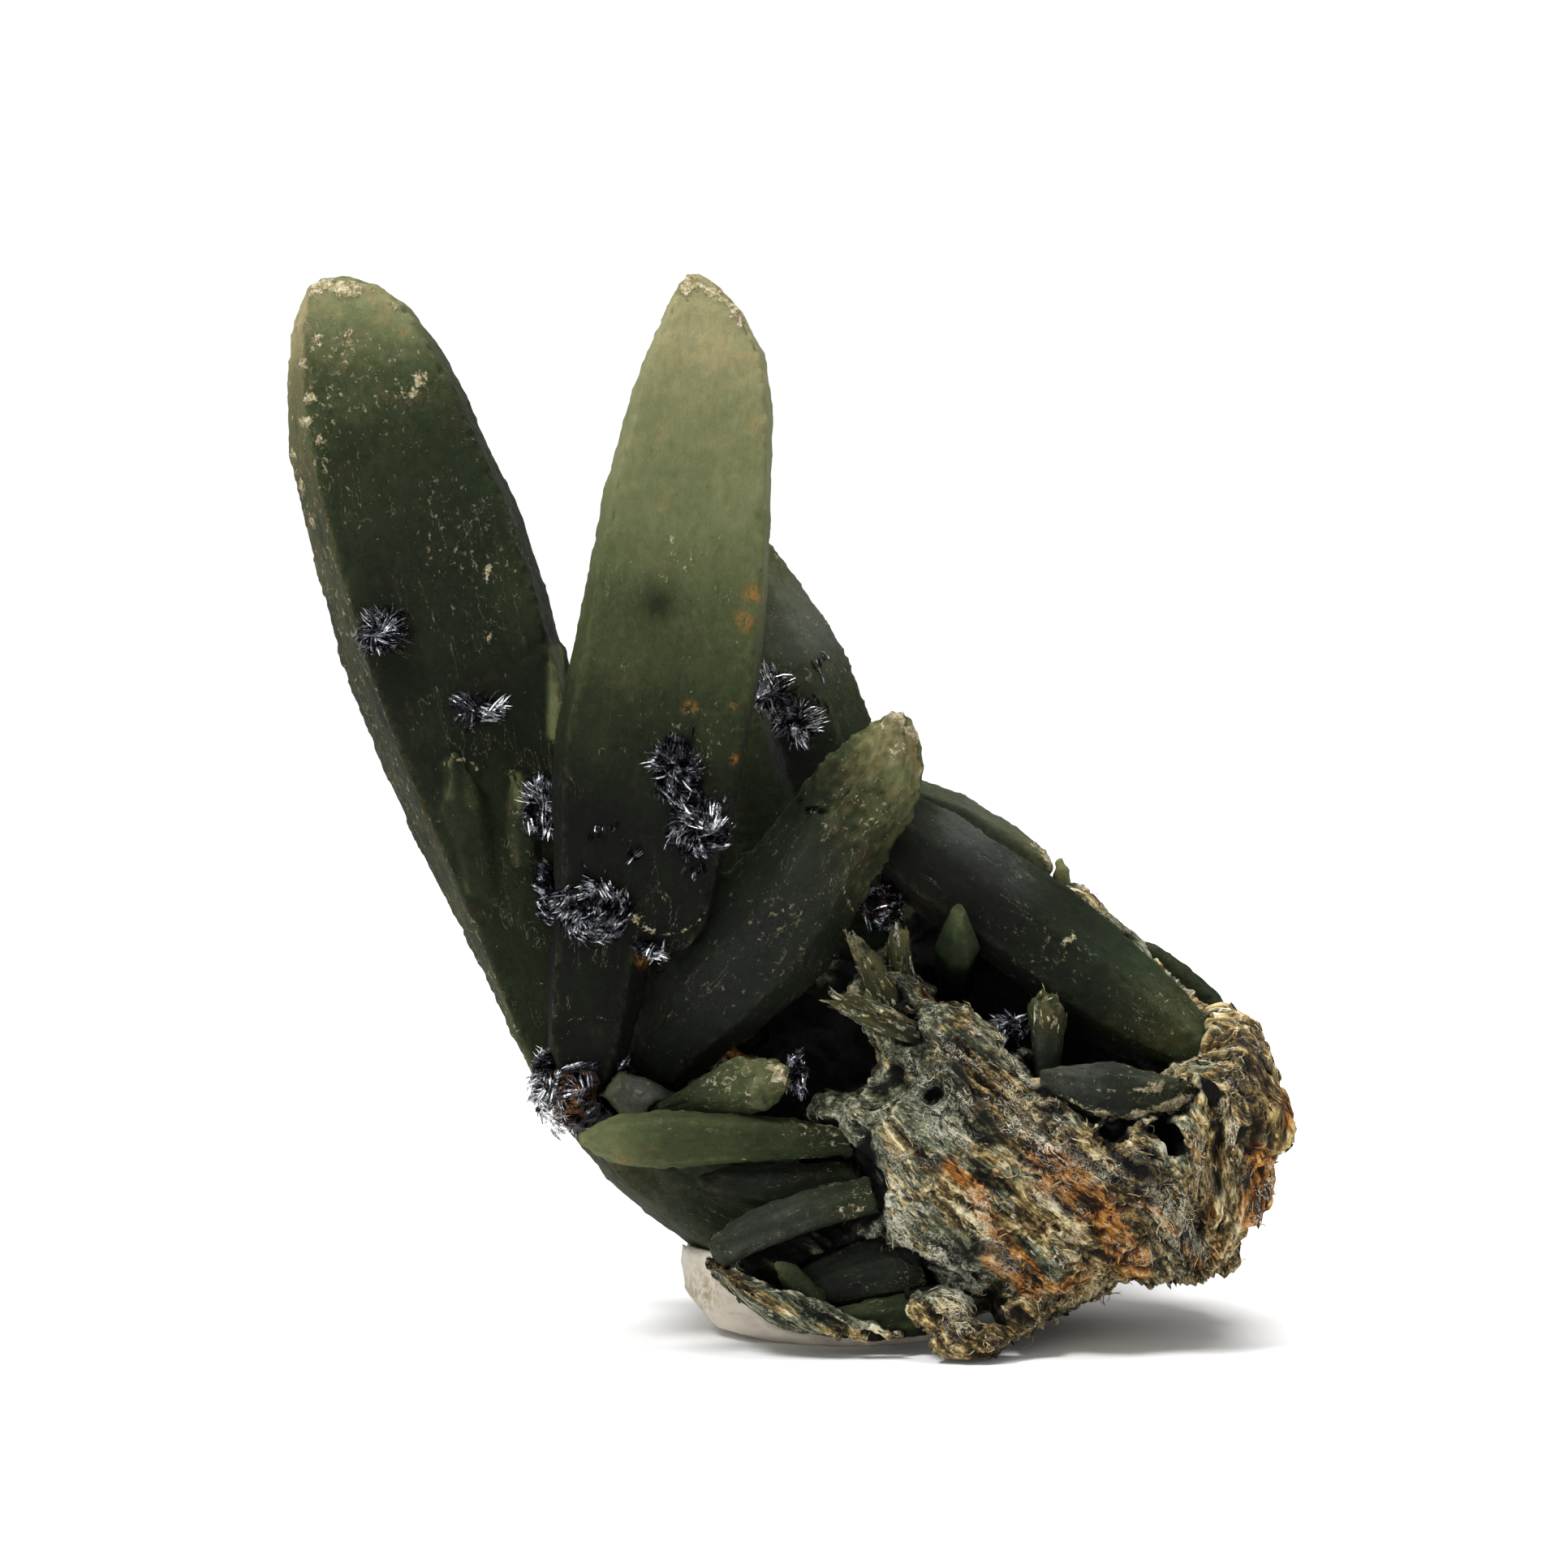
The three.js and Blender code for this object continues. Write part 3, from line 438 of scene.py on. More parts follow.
def rock_material():
    """Fibrous rock: grey-green, with tan and rust parts. fibre runs along the grain."""
    look = Shader("matrix_rock", specular_ior_level=0.12)
    fibre, cream = look.value("fibre", "Vector"), look.value("cream")
    matted = look.rise(look.value("tan"), 0.0, 0.5, 0.9, 0.2)
    broad = look.noise(fibre * (0.30, 1, 1), 0.4, 5.0, 0.65, matted)
    long = look.noise(fibre * (0.20, 1, 1), 1.2, 6.0, 0.74, matted)
    short = look.noise(fibre * (0.32, 1, 1), 2.6, 4.0, 0.75, matted)
    blend = look.total((broad, 0.7), (long, 0.8), (short, 1.0)) + ((look.value("shade") - 0.5) * 0.30 + 0.515)
    green = look.ramp(blend, (0.30, 0.0095, 0.0115, 0.0080), (0.42, 0.034, 0.040, 0.023),
                      (0.52, 0.098, 0.106, 0.062), (0.62, 0.225, 0.230, 0.150), (0.76, 0.56, 0.55, 0.41))
    tan = look.ramp(blend, (0.30, 0.013, 0.009, 0.005), (0.42, 0.064, 0.042, 0.015),
                    (0.52, 0.205, 0.140, 0.050), (0.62, 0.50, 0.375, 0.155), (0.74, 0.84, 0.74, 0.48))
    rust = look.ramp(blend, (0.30, 0.015, 0.008, 0.004), (0.41, 0.098, 0.037, 0.009),
                     (0.51, 0.31, 0.120, 0.022), (0.62, 0.55, 0.275, 0.070), (0.76, 0.72, 0.54, 0.29))
    wobble = look.total((look.noise(fibre * (0.35, 1, 1), 0.55, 7.0, 0.74, 0.5), 3.4))
    colour = look.mix(look.rise(look.value("tan") + wobble, 0.38, 0.68), green, tan)
    wobble = look.total((look.noise(fibre * (0.3, 1, 1), 0.8, 7.0, 0.76, 0.6), 2.8))
    colour = look.mix(look.rise(look.value("rust") + wobble, 0.48, 0.72), colour, rust)
    # felted pale fibres: the contour lines of a twisted noise
    for per_mm, thin, away in ((0.55, 0.006, 11.0), (1.1, 0.010, 37.0)):
        at = fibre * (0.55, 1, 1) + (away, away, away)
        curl = look.math("ABSOLUTE", look.total((look.noise(at, per_mm, 3.0, 0.6, 2.2), 1.0)))
        where = look.rise(cream + look.total((look.noise(at, 0.35, 3.0, 0.6), 2.8)), 0.2, 0.7)
        colour = look.mix(look.rise(curl, thin * 0.4, thin * 2.2, 1, 0) * where, colour, (0.76, 0.73, 0.58))
    tuft = look.rise(cream * 0.4 + look.noise(fibre * (0.5, 1, 1), 1.7, 6.0, 0.8, 1.5), 0.88, 0.98)
    colour = look.mix(tuft * 0.85, colour, (0.74, 0.71, 0.57))
    # darker streaks and pits, and painted shade in the hollows and cavities
    streak = look.rise(look.noise(fibre * (0.18, 1, 1) + (71.0, 71.0, 71.0), 0.6, 5.0, 0.7, 0.2), 0.57, 0.66)
    colour = look.mix(streak * 0.72, colour, (0.022, 0.020, 0.013))
    pit = look.rise(look.noise(fibre * (0.3, 1, 1) + (5.0, 5.0, 5.0), 0.95, 3.0, 0.6, 0.4), 0.63, 0.68)
    colour = look.mix(pit * 0.85, colour, (0.010, 0.009, 0.008))
    look.set("Base Color", look.mix(look.value("hollow"), colour, (0.0045, 0.0045, 0.004)))
    look.set("Roughness", look.rise(short, 0.35, 0.65, 0.6, 0.9))
    look.bump((broad, 0.5), (long, 0.6), (short, 0.35), (pit, -0.2))
    return look.material


def hematite_material():
    """Dark metal blades, which noise and the value shade paint bright or near black, as glints and shade. The
    value pale paints some silvery, as glints.
    """
    look = Shader("hematite_blades", metallic=1.0, ior=2.0)
    at = look.place()
    shade = look.noise(at, 1.2, 3.0, 0.6) + look.value("shade") * 0.3
    colour = look.ramp(shade, (0.42, 0.008, 0.008, 0.010), (0.60, 0.05, 0.052, 0.062),
                       (0.75, 0.21, 0.215, 0.24), (0.88, 0.80, 0.81, 0.84))
    colour = look.mix(look.value("pale"), colour, (0.90, 0.90, 0.90))
    rust = look.value("stain") * look.rise(look.noise(at, 1.3, 3.0, 0.6), 0.42, 0.55)
    look.set("Base Color", look.mix(rust, colour, (0.36, 0.15, 0.04)))
    look.set("Roughness", look.rise(look.noise(at, 3.0, 2.0, 0.5), 0.3, 0.7, 0.20, 0.36))
    look.bump((look.noise(at, 7.0, 2.0, 0.5), 0.02))
    return look.material


def putty_material():
    """Beige-grey putty with smears and grit."""
    look = Shader("mounting_putty", specular_ior_level=0.3)
    at = look.place()
    smear = look.noise(at * (0.4, 0.4, 1.0), 0.9, 4.0, 0.6, 0.8)
    colour = look.ramp(look.noise(at, 0.16, 4.0, 0.55) * 0.7 + smear * 0.3, (0.36, 0.36, 0.30, 0.26),
                       (0.5, 0.50, 0.45, 0.37), (0.66, 0.60, 0.555, 0.46))
    stain = look.value("stain") * look.rise(look.noise(at, 1.1, 4.0, 0.7), 0.4, 0.6)
    colour = look.mix(stain, colour, (0.26, 0.22, 0.13))
    grit = look.rise(look.noise(at, 2.4, 2.0, 0.6), 0.66, 0.72)
    look.set("Base Color", look.mix(grit * 0.45, colour, (0.16, 0.12, 0.08)))
    look.set("Roughness", look.rise(smear, 0.3, 0.7, 0.55, 0.75))
    look.bump((smear, 0.14), (look.noise(at, 3.2, 3.0, 0.6), 0.05))
    return look.material


PRASE, ROCK, HEMATITE, PUTTY = prase_material(), rock_material(), hematite_material(), putty_material()
solid = {}   # every finished shape, for rays


# Crystals

FINE_NET = 0.19   # crystals with a finer net are small and get smaller chips
FRONT_BREAK, BREAK_SLANT = (0.6, 54.5), 0.42   # where a break slants through the front crystal, in the view


def row(spacing, root, tip, tones, **forms):
    return dict(spacing=spacing, root=root, tip=tip, tones=tones, **forms)


# The net's spacing, the root and the tip as (across, up, depth) in the view, or as the model's x, y, z
# for the back crystals, and the tone from root to tip. Then the strengths of the forms: crust on the tip,
# chips off the edges, lengthwise ridges, a brush of splinters at the end, knobs near the tip and dust on
# the root.
CRYSTALS = {
    "left_crystal": row(0.35, (-24.8, 26.6, 3), (-47.4, 106.7, 9), [(0, 0.36), (0.25, 0.27), (0.5, 0.2),
                        (0.63, 0.28), (0.75, 0.35), (0.87, 0.5), (0.95, 0.7), (1, 0.8)], crust=0.2,
                        chips=1.5, knobs=0.1),
    "centre_crystal": row(0.34, (-22.2, 27.3, -2.4), (-11.7, 107.4, -5), [(0, 0.02), (0.34, 0.04),
                          (0.44, 0.33), (0.54, 0.56), (0.64, 0.71), (0.74, 0.8), (0.84, 0.89),
                          (0.92, 0.97)], crust=0.12, chips=1.5, knobs=0.08),
    "front_crystal": row(0.27, (-16.2, 27.7, 3), (8.9, 63.7, -9), [(0, 0.14), (0.35, 0.27), (0.55, 0.28),
                         (0.7, 0.32), (0.82, 0.48), (0.95, 0.68)], crust=0.3, chips=2.1, knobs=0.15),
    "right_crystal": row(0.31, (41, 26.6, 3), (4.4, 55.2, 4), [(0, 0.5), (0.2, 0.34), (0.5, 0.16),
                         (1, 0.12)], ridges=1.6, dusty=0.3),
    "rear_crystal": row(0.35, (7, 36.2, 14), (-7.1, 81.9, 10), [(0, 0.2), (0.5, 0.4), (1, 0.62)]),
    "right_rear_crystal": row(0.25, (9.6, 55.7, 12), (23.4, 48.5, 13), [(0, 0.6), (1, 0.7)], crust=0.4),
    "far_right_crystal": row(0.25, (41.8, 32.6, 12), (31.6, 41.2, 14), [(0, 0.3), (1, 0.45)]),
    "trunk_crystal": row(0.4, (5, 12.4, 7), (-22.8, 27.2, 4), [(0, 0.5), (1, 0.46)], crust=0.1, ridges=2.5),
    "lower_long_crystal": row(0.26, (3.8, 21.7, -6), (-22.7, 22.2, -13), [(0, 0.3), (0.4, 0.5),
                              (0.9, 0.64)], ridges=1.6, dusty=0.55),
    "broken_crystal": row(0.22, (-16, 24.7, -5), (-2.5, 27.9, -9), [(0, 0.25), (0.4, 0.45), (1, 0.62)],
                          crust=0.3, chips=1.4, brush=0.7, knobs=0.4),
    "lower_upper_crystal": row(0.26, (4.4, 18.2, -5), (-11.4, 18, -6), [(0, 0.3), (1, 0.3)], ridges=2.5,
                               dusty=0.4),
    "lower_middle_crystal": row(0.26, (6.2, 16.6, -9), (-9.6, 10.5, -10), [(0, 0.36), (1, 0.38)],
                                ridges=3.0, dusty=0.5),
    "lower_broad_crystal": row(0.26, (10.4, 10.2, -7), (-0.4, 7.3, -8), [(0, 0.3), (1, 0.3)], ridges=3.0,
                               dusty=0.5),
    "lower_pale_crystal": row(0.2, (0.8, 5.6, -10), (-3.4, 9.8, -12), [(0, 0.3), (1, 0.5)]),
    "lower_flat_crystal": row(0.26, (13, 5.4, -9), (1.1, 3.9, -10), [(0, 0.35), (1, 0.4)], ridges=3.0,
                              dusty=0.5),
    "tiny_pale_crystal": row(0.15, (25, 45, 12), (24.3, 49.7, 12), [(0, 0.6), (1, 0.9)]),
    "ledge_crystal": row(0.23, (37.6, 26.1, -7), (22.3, 28.5, -10), [(0, 0.42), (1, 0.38)], crust=0.1,
                         ridges=3.0, dusty=0.5),
    "green_stub_crystal": row(0.22, (13.9, 36.8, 9), (14.5, 44.7, -5), [(0, 0.0), (0.4, 0.05), (0.62, 0.36),
                              (1, 0.5)], chips=0.6),
    "upright_stub_crystal": row(0.16, (23.1, 28.4, -4), (23.2, 35.8, -7), [(0, 0.35), (1, 0.5)], brush=0.7,
                                ridges=3.0),
    "pale_stub_crystal": row(0.14, (9, 35.4, -2), (8.8, 42.7, -4), [(0, 0.3), (0.6, 0.5), (1, 0.66)],
                             brush=0.7, ridges=3.0),
    "thin_blade_crystal": row(0.14, (8.2, 33.8, -5), (3.4, 42.4, -10), [(0, 0.35), (0.5, 0.55), (1, 0.78)],
                              brush=0.6, ridges=3.0),
    "splintered_crystal": row(0.14, (10.6, 32.2, -6), (2.1, 35.8, -12), [(0, 0.4), (1, 0.58)], crust=0.25,
                              ridges=4.0, brush=1.6),
    "back_crystal_1": row(0.55, (-8, 10, 22), (-12, 23, 70), [(0, 0.15), (0.6, 0.3), (1, 0.65)], crust=0.4),
    "back_crystal_2": row(0.55, (8, 15, 28), (1, 34, 54), [(0, 0.2), (1, 0.6)], crust=0.4),
    "back_crystal_3": row(0.55, (20, 14, 28), (28, 32, 36), [(0, 0.3), (1, 0.6)], crust=0.3),
    "back_crystal_4": row(0.55, (-6, 12, 16), (-25, 22, 25), [(0, 0.25), (1, 0.65)], crust=0.3),
    "back_crystal_5": row(0.55, (0, 17, 12), (-11, 33, 15), [(0, 0.25), (1, 0.55)]),
    "back_crystal_6": row(0.55, (12, 18, 16), (11, 40, 24), [(0, 0.3), (1, 0.7)], crust=0.3),
    "back_crystal_7": row(0.55, (24, 14, 20), (35, 31, 22), [(0, 0.3), (1, 0.6)]),
    "back_crystal_8": row(0.55, (18, 16, 12), (24, 31, 10), [(0, 0.3), (1, 0.55)]),
}

# Marks seen in the photo, by crystal and kind: pixel, radius in pixels, strength.
MARKS = {
    "left_crystal crust": [
        (388, 352, 14, 0.6), (410, 347, 16, 0.6), (432, 352, 14, 0.55), (462, 362, 12, 0.45),
        (492, 376, 12, 0.4), (383, 490, 12, 0.8), (378, 520, 10, 0.8), (396, 545, 11, 0.75),
        (372, 450, 12, 0.65), (428, 425, 18, 0.6), (516, 466, 18, 0.6), (508, 486, 10, 0.5),
        (392, 420, 10, 0.6), (445, 462, 12, 0.3), (545, 484, 9, 0.4), (372, 600, 10, 0.3),
        (385, 640, 10, 0.3), (628, 644, 10, 0.45), (600, 700, 14, 0.4), (620, 715, 12, 0.35),
        (606, 740, 10, 0.3), (605, 790, 9, 0.35), (650, 680, 8, 0.3), (530, 660, 8, 0.3),
        (380, 400, 14, 0.3), (365, 560, 8, 0.35)],
    "left_crystal tone": [
        (575, 1010, 30, 0.08), (640, 720, 50, 0.06), (700, 1000, 40, 0.05), (420, 420, 90, 0.06),
        (470, 380, 60, 0.08), (450, 480, 60, 0.04), (640, 750, 40, 0.08), (610, 1090, 40, 0.08),
        (500, 400, 24, 0.1)],
    "left_crystal stain": [(495, 412, 5, 1.0)],
    "left_crystal green": [(540, 420, 60, 0.2), (590, 600, 80, 0.2)],
    "left_crystal specks": [
        (400, 430, 60, 0.7), (390, 560, 40, 0.7), (600, 690, 60, 0.5), (540, 640, 60, 0.3),
        (480, 470, 70, 0.4), (500, 1000, 60, 0.4), (600, 800, 50, 0.4), (520, 560, 200, 0.2)],
    "centre_crystal crust": [
        (845, 357, 9, 0.75), (850, 342, 9, 0.5), (880, 362, 9, 0.6), (908, 388, 8, 0.5), (930, 430, 7, 0.4),
        (820, 690, 8, 0.6), (842, 700, 10, 0.5), (858, 692, 7, 0.45), (852, 718, 8, 0.35),
        (845, 905, 12, 0.35), (870, 900, 8, 0.3)],
    "centre_crystal tone": [
        (810, 745, 17, -0.2), (795, 780, 80, -0.05), (940, 600, 20, 0.08), (700, 760, 14, 0.1),
        (760, 950, 50, 0.08), (740, 1180, 60, 0.06), (710, 1250, 60, 0.07), (820, 1080, 50, 0.04)],
    "centre_crystal stain": [
        (930, 732, 12, 0.9), (920, 765, 12, 0.75), (850, 872, 7, 1.0), (908, 935, 6, 0.9),
        (905, 868, 5, 0.7), (790, 1183, 8, 1.0), (930, 520, 8, 0.4)],
    "centre_crystal specks": [(830, 690, 50, 0.6), (850, 910, 60, 0.5)],
    "front_crystal slate": [(880, 1230, 70, 0.8), (950, 1140, 70, 0.7), (1000, 1060, 50, 0.4)],
    "front_crystal warm": [(1090, 940, 60, 0.3), (1060, 1080, 60, 0.3)],
    "front_crystal crust": [
        (1125, 898, 9, 0.45), (1136, 925, 9, 0.5), (1140, 950, 8, 0.4), (1108, 886, 9, 0.3)],
    "front_crystal tone": [
        (1090, 900, 40, 0.08), (1050, 1080, 24, 0.1), (1115, 960, 30, 0.08), (1035, 960, 34, -0.12),
        (1000, 1000, 40, -0.06)],
    "front_crystal stain": [(1131, 915, 12, 0.6), (1140, 945, 9, 0.5)],
    "front_crystal specks": [
        (950, 1110, 80, 0.5), (1000, 1200, 70, 0.4), (870, 1230, 60, 0.4), (1070, 1000, 60, 0.7)],
    "right_crystal slate": [
        (1180, 1020, 60, 0.8), (1240, 1080, 50, 0.6), (1200, 1150, 80, 0.6), (1340, 1210, 60, 0.4)],
    "right_crystal green": [(1400, 1200, 60, 0.35), (1330, 1140, 50, 0.25), (1460, 1270, 50, 0.2)],
    "right_crystal tone": [
        (1170, 1000, 40, 0.36), (1215, 1030, 40, 0.34), (1260, 1075, 34, 0.26), (1330, 1170, 70, 0.08),
        (1450, 1270, 60, 0.16), (1400, 1190, 50, 0.12), (1190, 1080, 60, 0.05)],
    "right_crystal warm": [(1440, 1250, 70, 0.5), (1300, 1120, 40, 0.4), (1390, 1230, 50, 0.4)],
    "right_crystal crust": [
        (1312, 1162, 9, 0.6), (1322, 1155, 7, 0.5), (1180, 985, 6, 0.4), (1270, 1105, 6, 0.4)],
    "right_crystal stain": [(1120, 1125, 10, 0.6), (1490, 1325, 10, 0.5)],
    "right_crystal specks": [(1280, 1180, 60, 0.7), (1420, 1260, 60, 0.7)],
    "thin_blade_crystal warm": [(1060, 1190, 60, 0.9)],
    "thin_blade_crystal crust": [(1050, 1160, 22, 0.4), (1075, 1200, 20, 0.35)],
    "splintered_crystal warm": [(1080, 1240, 90, 0.9)],
    "splintered_crystal crust": [(1045, 1235, 24, 0.45), (1100, 1255, 24, 0.4)],
    "pale_stub_crystal warm": [(1110, 1160, 50, 0.7)],
    "pale_stub_crystal crust": [(1108, 1140, 14, 0.35)],
    "trunk_crystal slate": [(790, 1345, 36, 1.0), (820, 1500, 90, 0.4)],
    "trunk_crystal warm": [(780, 1470, 90, 0.5)],
    "trunk_crystal tone": [(785, 1345, 30, 0.22)],
    "trunk_crystal crust": [(775, 1330, 10, 0.3)],
    "trunk_crystal specks": [(785, 1345, 30, 0.8)],
    "rear_crystal slate": [(970, 935, 50, 1.0), (1000, 770, 80, 0.7)],
    "rear_crystal tone": [(970, 935, 34, -0.08), (990, 760, 70, 0.16)],
    "rear_crystal crust": [(958, 685, 10, 0.5)],
    "rear_crystal specks": [(1000, 800, 80, 0.5)],
    "green_stub_crystal green": [(1185, 1160, 40, 0.35)],
    "green_stub_crystal tone": [(1182, 1135, 12, 0.1), (1200, 1165, 10, 0.08)],
    "lower_middle_crystal slate": [(950, 1530, 90, 0.8)],
    "lower_middle_crystal tone": [(950, 1530, 90, 0.05)],
    "lower_middle_crystal crust": [(900, 1590, 8, 0.5)],
    "lower_middle_crystal specks": [(950, 1530, 90, 0.4)],
    "lower_broad_crystal slate": [(1060, 1560, 90, 0.6)],
    "lower_upper_crystal slate": [(950, 1450, 90, 0.6)],
    "upright_stub_crystal slate": [(1290, 1295, 30, 0.6)],
    "upright_stub_crystal warm": [(1290, 1250, 30, 0.6)],
    "upright_stub_crystal crust": [(1290, 1232, 12, 0.45)],
    "ledge_crystal specks": [(1370, 1345, 80, 0.5)],
    "ledge_crystal slate": [(1340, 1330, 90, 0.75)],
    "ledge_crystal crust": [
        (1360, 1378, 10, 0.5), (1400, 1375, 10, 0.5), (1440, 1362, 12, 0.5), (1420, 1340, 14, 0.35)],
    "ledge_crystal tone": [(1340, 1325, 40, 0.1)],
    "broken_crystal crust": [
        (925, 1350, 22, 0.45), (948, 1330, 18, 0.4), (955, 1310, 10, 0.5), (885, 1325, 12, 0.35)],
    "broken_crystal specks": [(900, 1330, 60, 0.8)],
    "broken_crystal tone": [(930, 1330, 34, 0.12)],
    "right_rear_crystal crust": [(1275, 1040, 16, 0.5), (1245, 1018, 12, 0.35), (1290, 1055, 10, 0.5)],
    "right_rear_crystal slate": [(1200, 990, 90, 0.5)],
    "lower_long_crystal tone": [(740, 1410, 40, 0.1)],
    "lower_long_crystal stain": [(770, 1435, 10, 0.5)],
    "lower_long_crystal crust": [(718, 1412, 8, 0.5), (740, 1434, 8, 0.4)],
    "far_right_crystal crust": [(1515, 1235, 12, 0.6), (1400, 1140, 14, 0.4)],
}

# Lines of the same kinds: half width in pixels, strength, and the pixels that they run through.
LINES = {
    "left_crystal crust": [
        (3, 0.3, (484, 620), (488, 650), (482, 680), (486, 722)),
        (3, 0.3, (515, 612), (520, 640), (530, 655), (532, 690)),
        (3.5, 0.42, (602, 700), (598, 740), (606, 770), (600, 800), (608, 830)),
        (3, 0.25, (470, 640), (462, 668)), (3, 0.25, (560, 555), (572, 575)),
        (3.5, 0.62, (547, 944), (556, 928), (564, 937)), (3.5, 0.62, (570, 936), (582, 938), (590, 951)),
        (3, 0.6, (634, 948), (646, 966), (657, 986)), (3, 0.5, (681, 812), (681, 850)),
        (4, 0.35, (345, 480), (362, 560), (384, 640), (410, 700))],
    "left_crystal tone": [
        (8, 0.2, (551, 940), (554, 980)), (9, 0.2, (578, 948), (582, 990)),
        (8, 0.5, (637, 958), (645, 1000)), (11, 0.6, (686, 803), (684, 903))],
    "centre_crystal crust": [
        (6, 0.62, (850, 346), (866, 354), (886, 366), (904, 379), (913, 392), (918, 404)),
        (4, 0.52, (778, 1130), (790, 1143), (812, 1152), (835, 1150), (855, 1141), (870, 1126)),
        (7, 0.4, (785, 1128), (805, 1140)), (4, 0.45, (684, 1264), (706, 1256), (730, 1252), (756, 1258))],
    "front_crystal crust": [
        (5, 0.5, (1068, 870), (1092, 876), (1110, 886), (1128, 905)),
        (4.5, 0.5, (1000, 1000), (1014, 1012), (1024, 1040), (1024, 1064), (1034, 1084), (1044, 1106),
         (1054, 1132)),
        (5, 0.45, (1098, 880), (1118, 890), (1134, 912), (1143, 940), (1136, 975)),
        (4, 0.35, (1060, 1150), (1035, 1185), (1000, 1225)),
        (4, 0.3, (800, 1280), (790, 1292), (810, 1290))],
    "right_crystal crust": [(3, 0.35, (1135, 990), (1180, 1015), (1215, 1050), (1262, 1085), (1290, 1110))],
    "ledge_crystal crust": [
        (3, 0.38, (1310, 1333), (1370, 1343), (1430, 1343)),
        (5, 0.55, (1300, 1345), (1340, 1368), (1385, 1378), (1430, 1366), (1470, 1350))],
    "lower_long_crystal crust": [(3, 0.35, (715, 1425), (760, 1438), (840, 1436), (920, 1428))],
}


def marks(name, kind, points, facing):
    """The strength of one kind of mark at each point of a crystal's front."""
    key = f"{name} {kind}"
    total = bands(points, LINES.get(key, []), 6 if kind == "tone" else 2)
    for x, y, radius, strength in MARKS.get(key, []):
        total += strength * spot(in_view(points), pixel(x, y), radius / PIXELS_PER_MM)
    return total * facing


def relief(points, grain, seed, ridges):
    """How far waves and growth lines move each point of a crystal."""
    move = 0.14 * noise(points, 8.0, seed) + 0.05 * ridges * noise(grain * [1, 1, 0.2], 1.2, seed + 1)
    move += (0.03 * ridges * noise(grain * [1, 1, 0.35], 0.6, seed + 2)
             + 0.09 * layered(points, 2.0, seed + 12))
    return move


def chip_depth(points, seed, small):
    """How deep the chips are, if a point lies on an edge."""
    nicks = np.clip(noise(points, 1.1, seed + 3) - 0.02, 0, 1) * 0.75
    nicks += np.clip(noise(points, 3.6, seed + 4) - 0.25, 0, 1) * 1.6
    return nicks * 0.4 if small else nicks


def crust_on(points, grain, along, edge, seed, crust, dusty, marked):
    """How much crust lies on each point: on the tip, on edges, on the marks and as dust on the root."""
    wander = 0.5 * layered(grain * [1, 1, 0.75], 2.2, seed + 7)
    crusted = crust * rise(0.88, 1.0, along + 0.06 * noise(points, 3.0, seed + 5))
    crusted += 0.25 * edge * rise(0.1, 0.6, noise(points, 4.0, seed + 6)) * rise(0.2, 0.7, along)
    crusted += wander * rise(0.0, 0.2, crusted) + marked * (1 + wander)
    crusted += dusty * rise(0.6, 0.1, along) * (0.8 + wander)
    return crusted


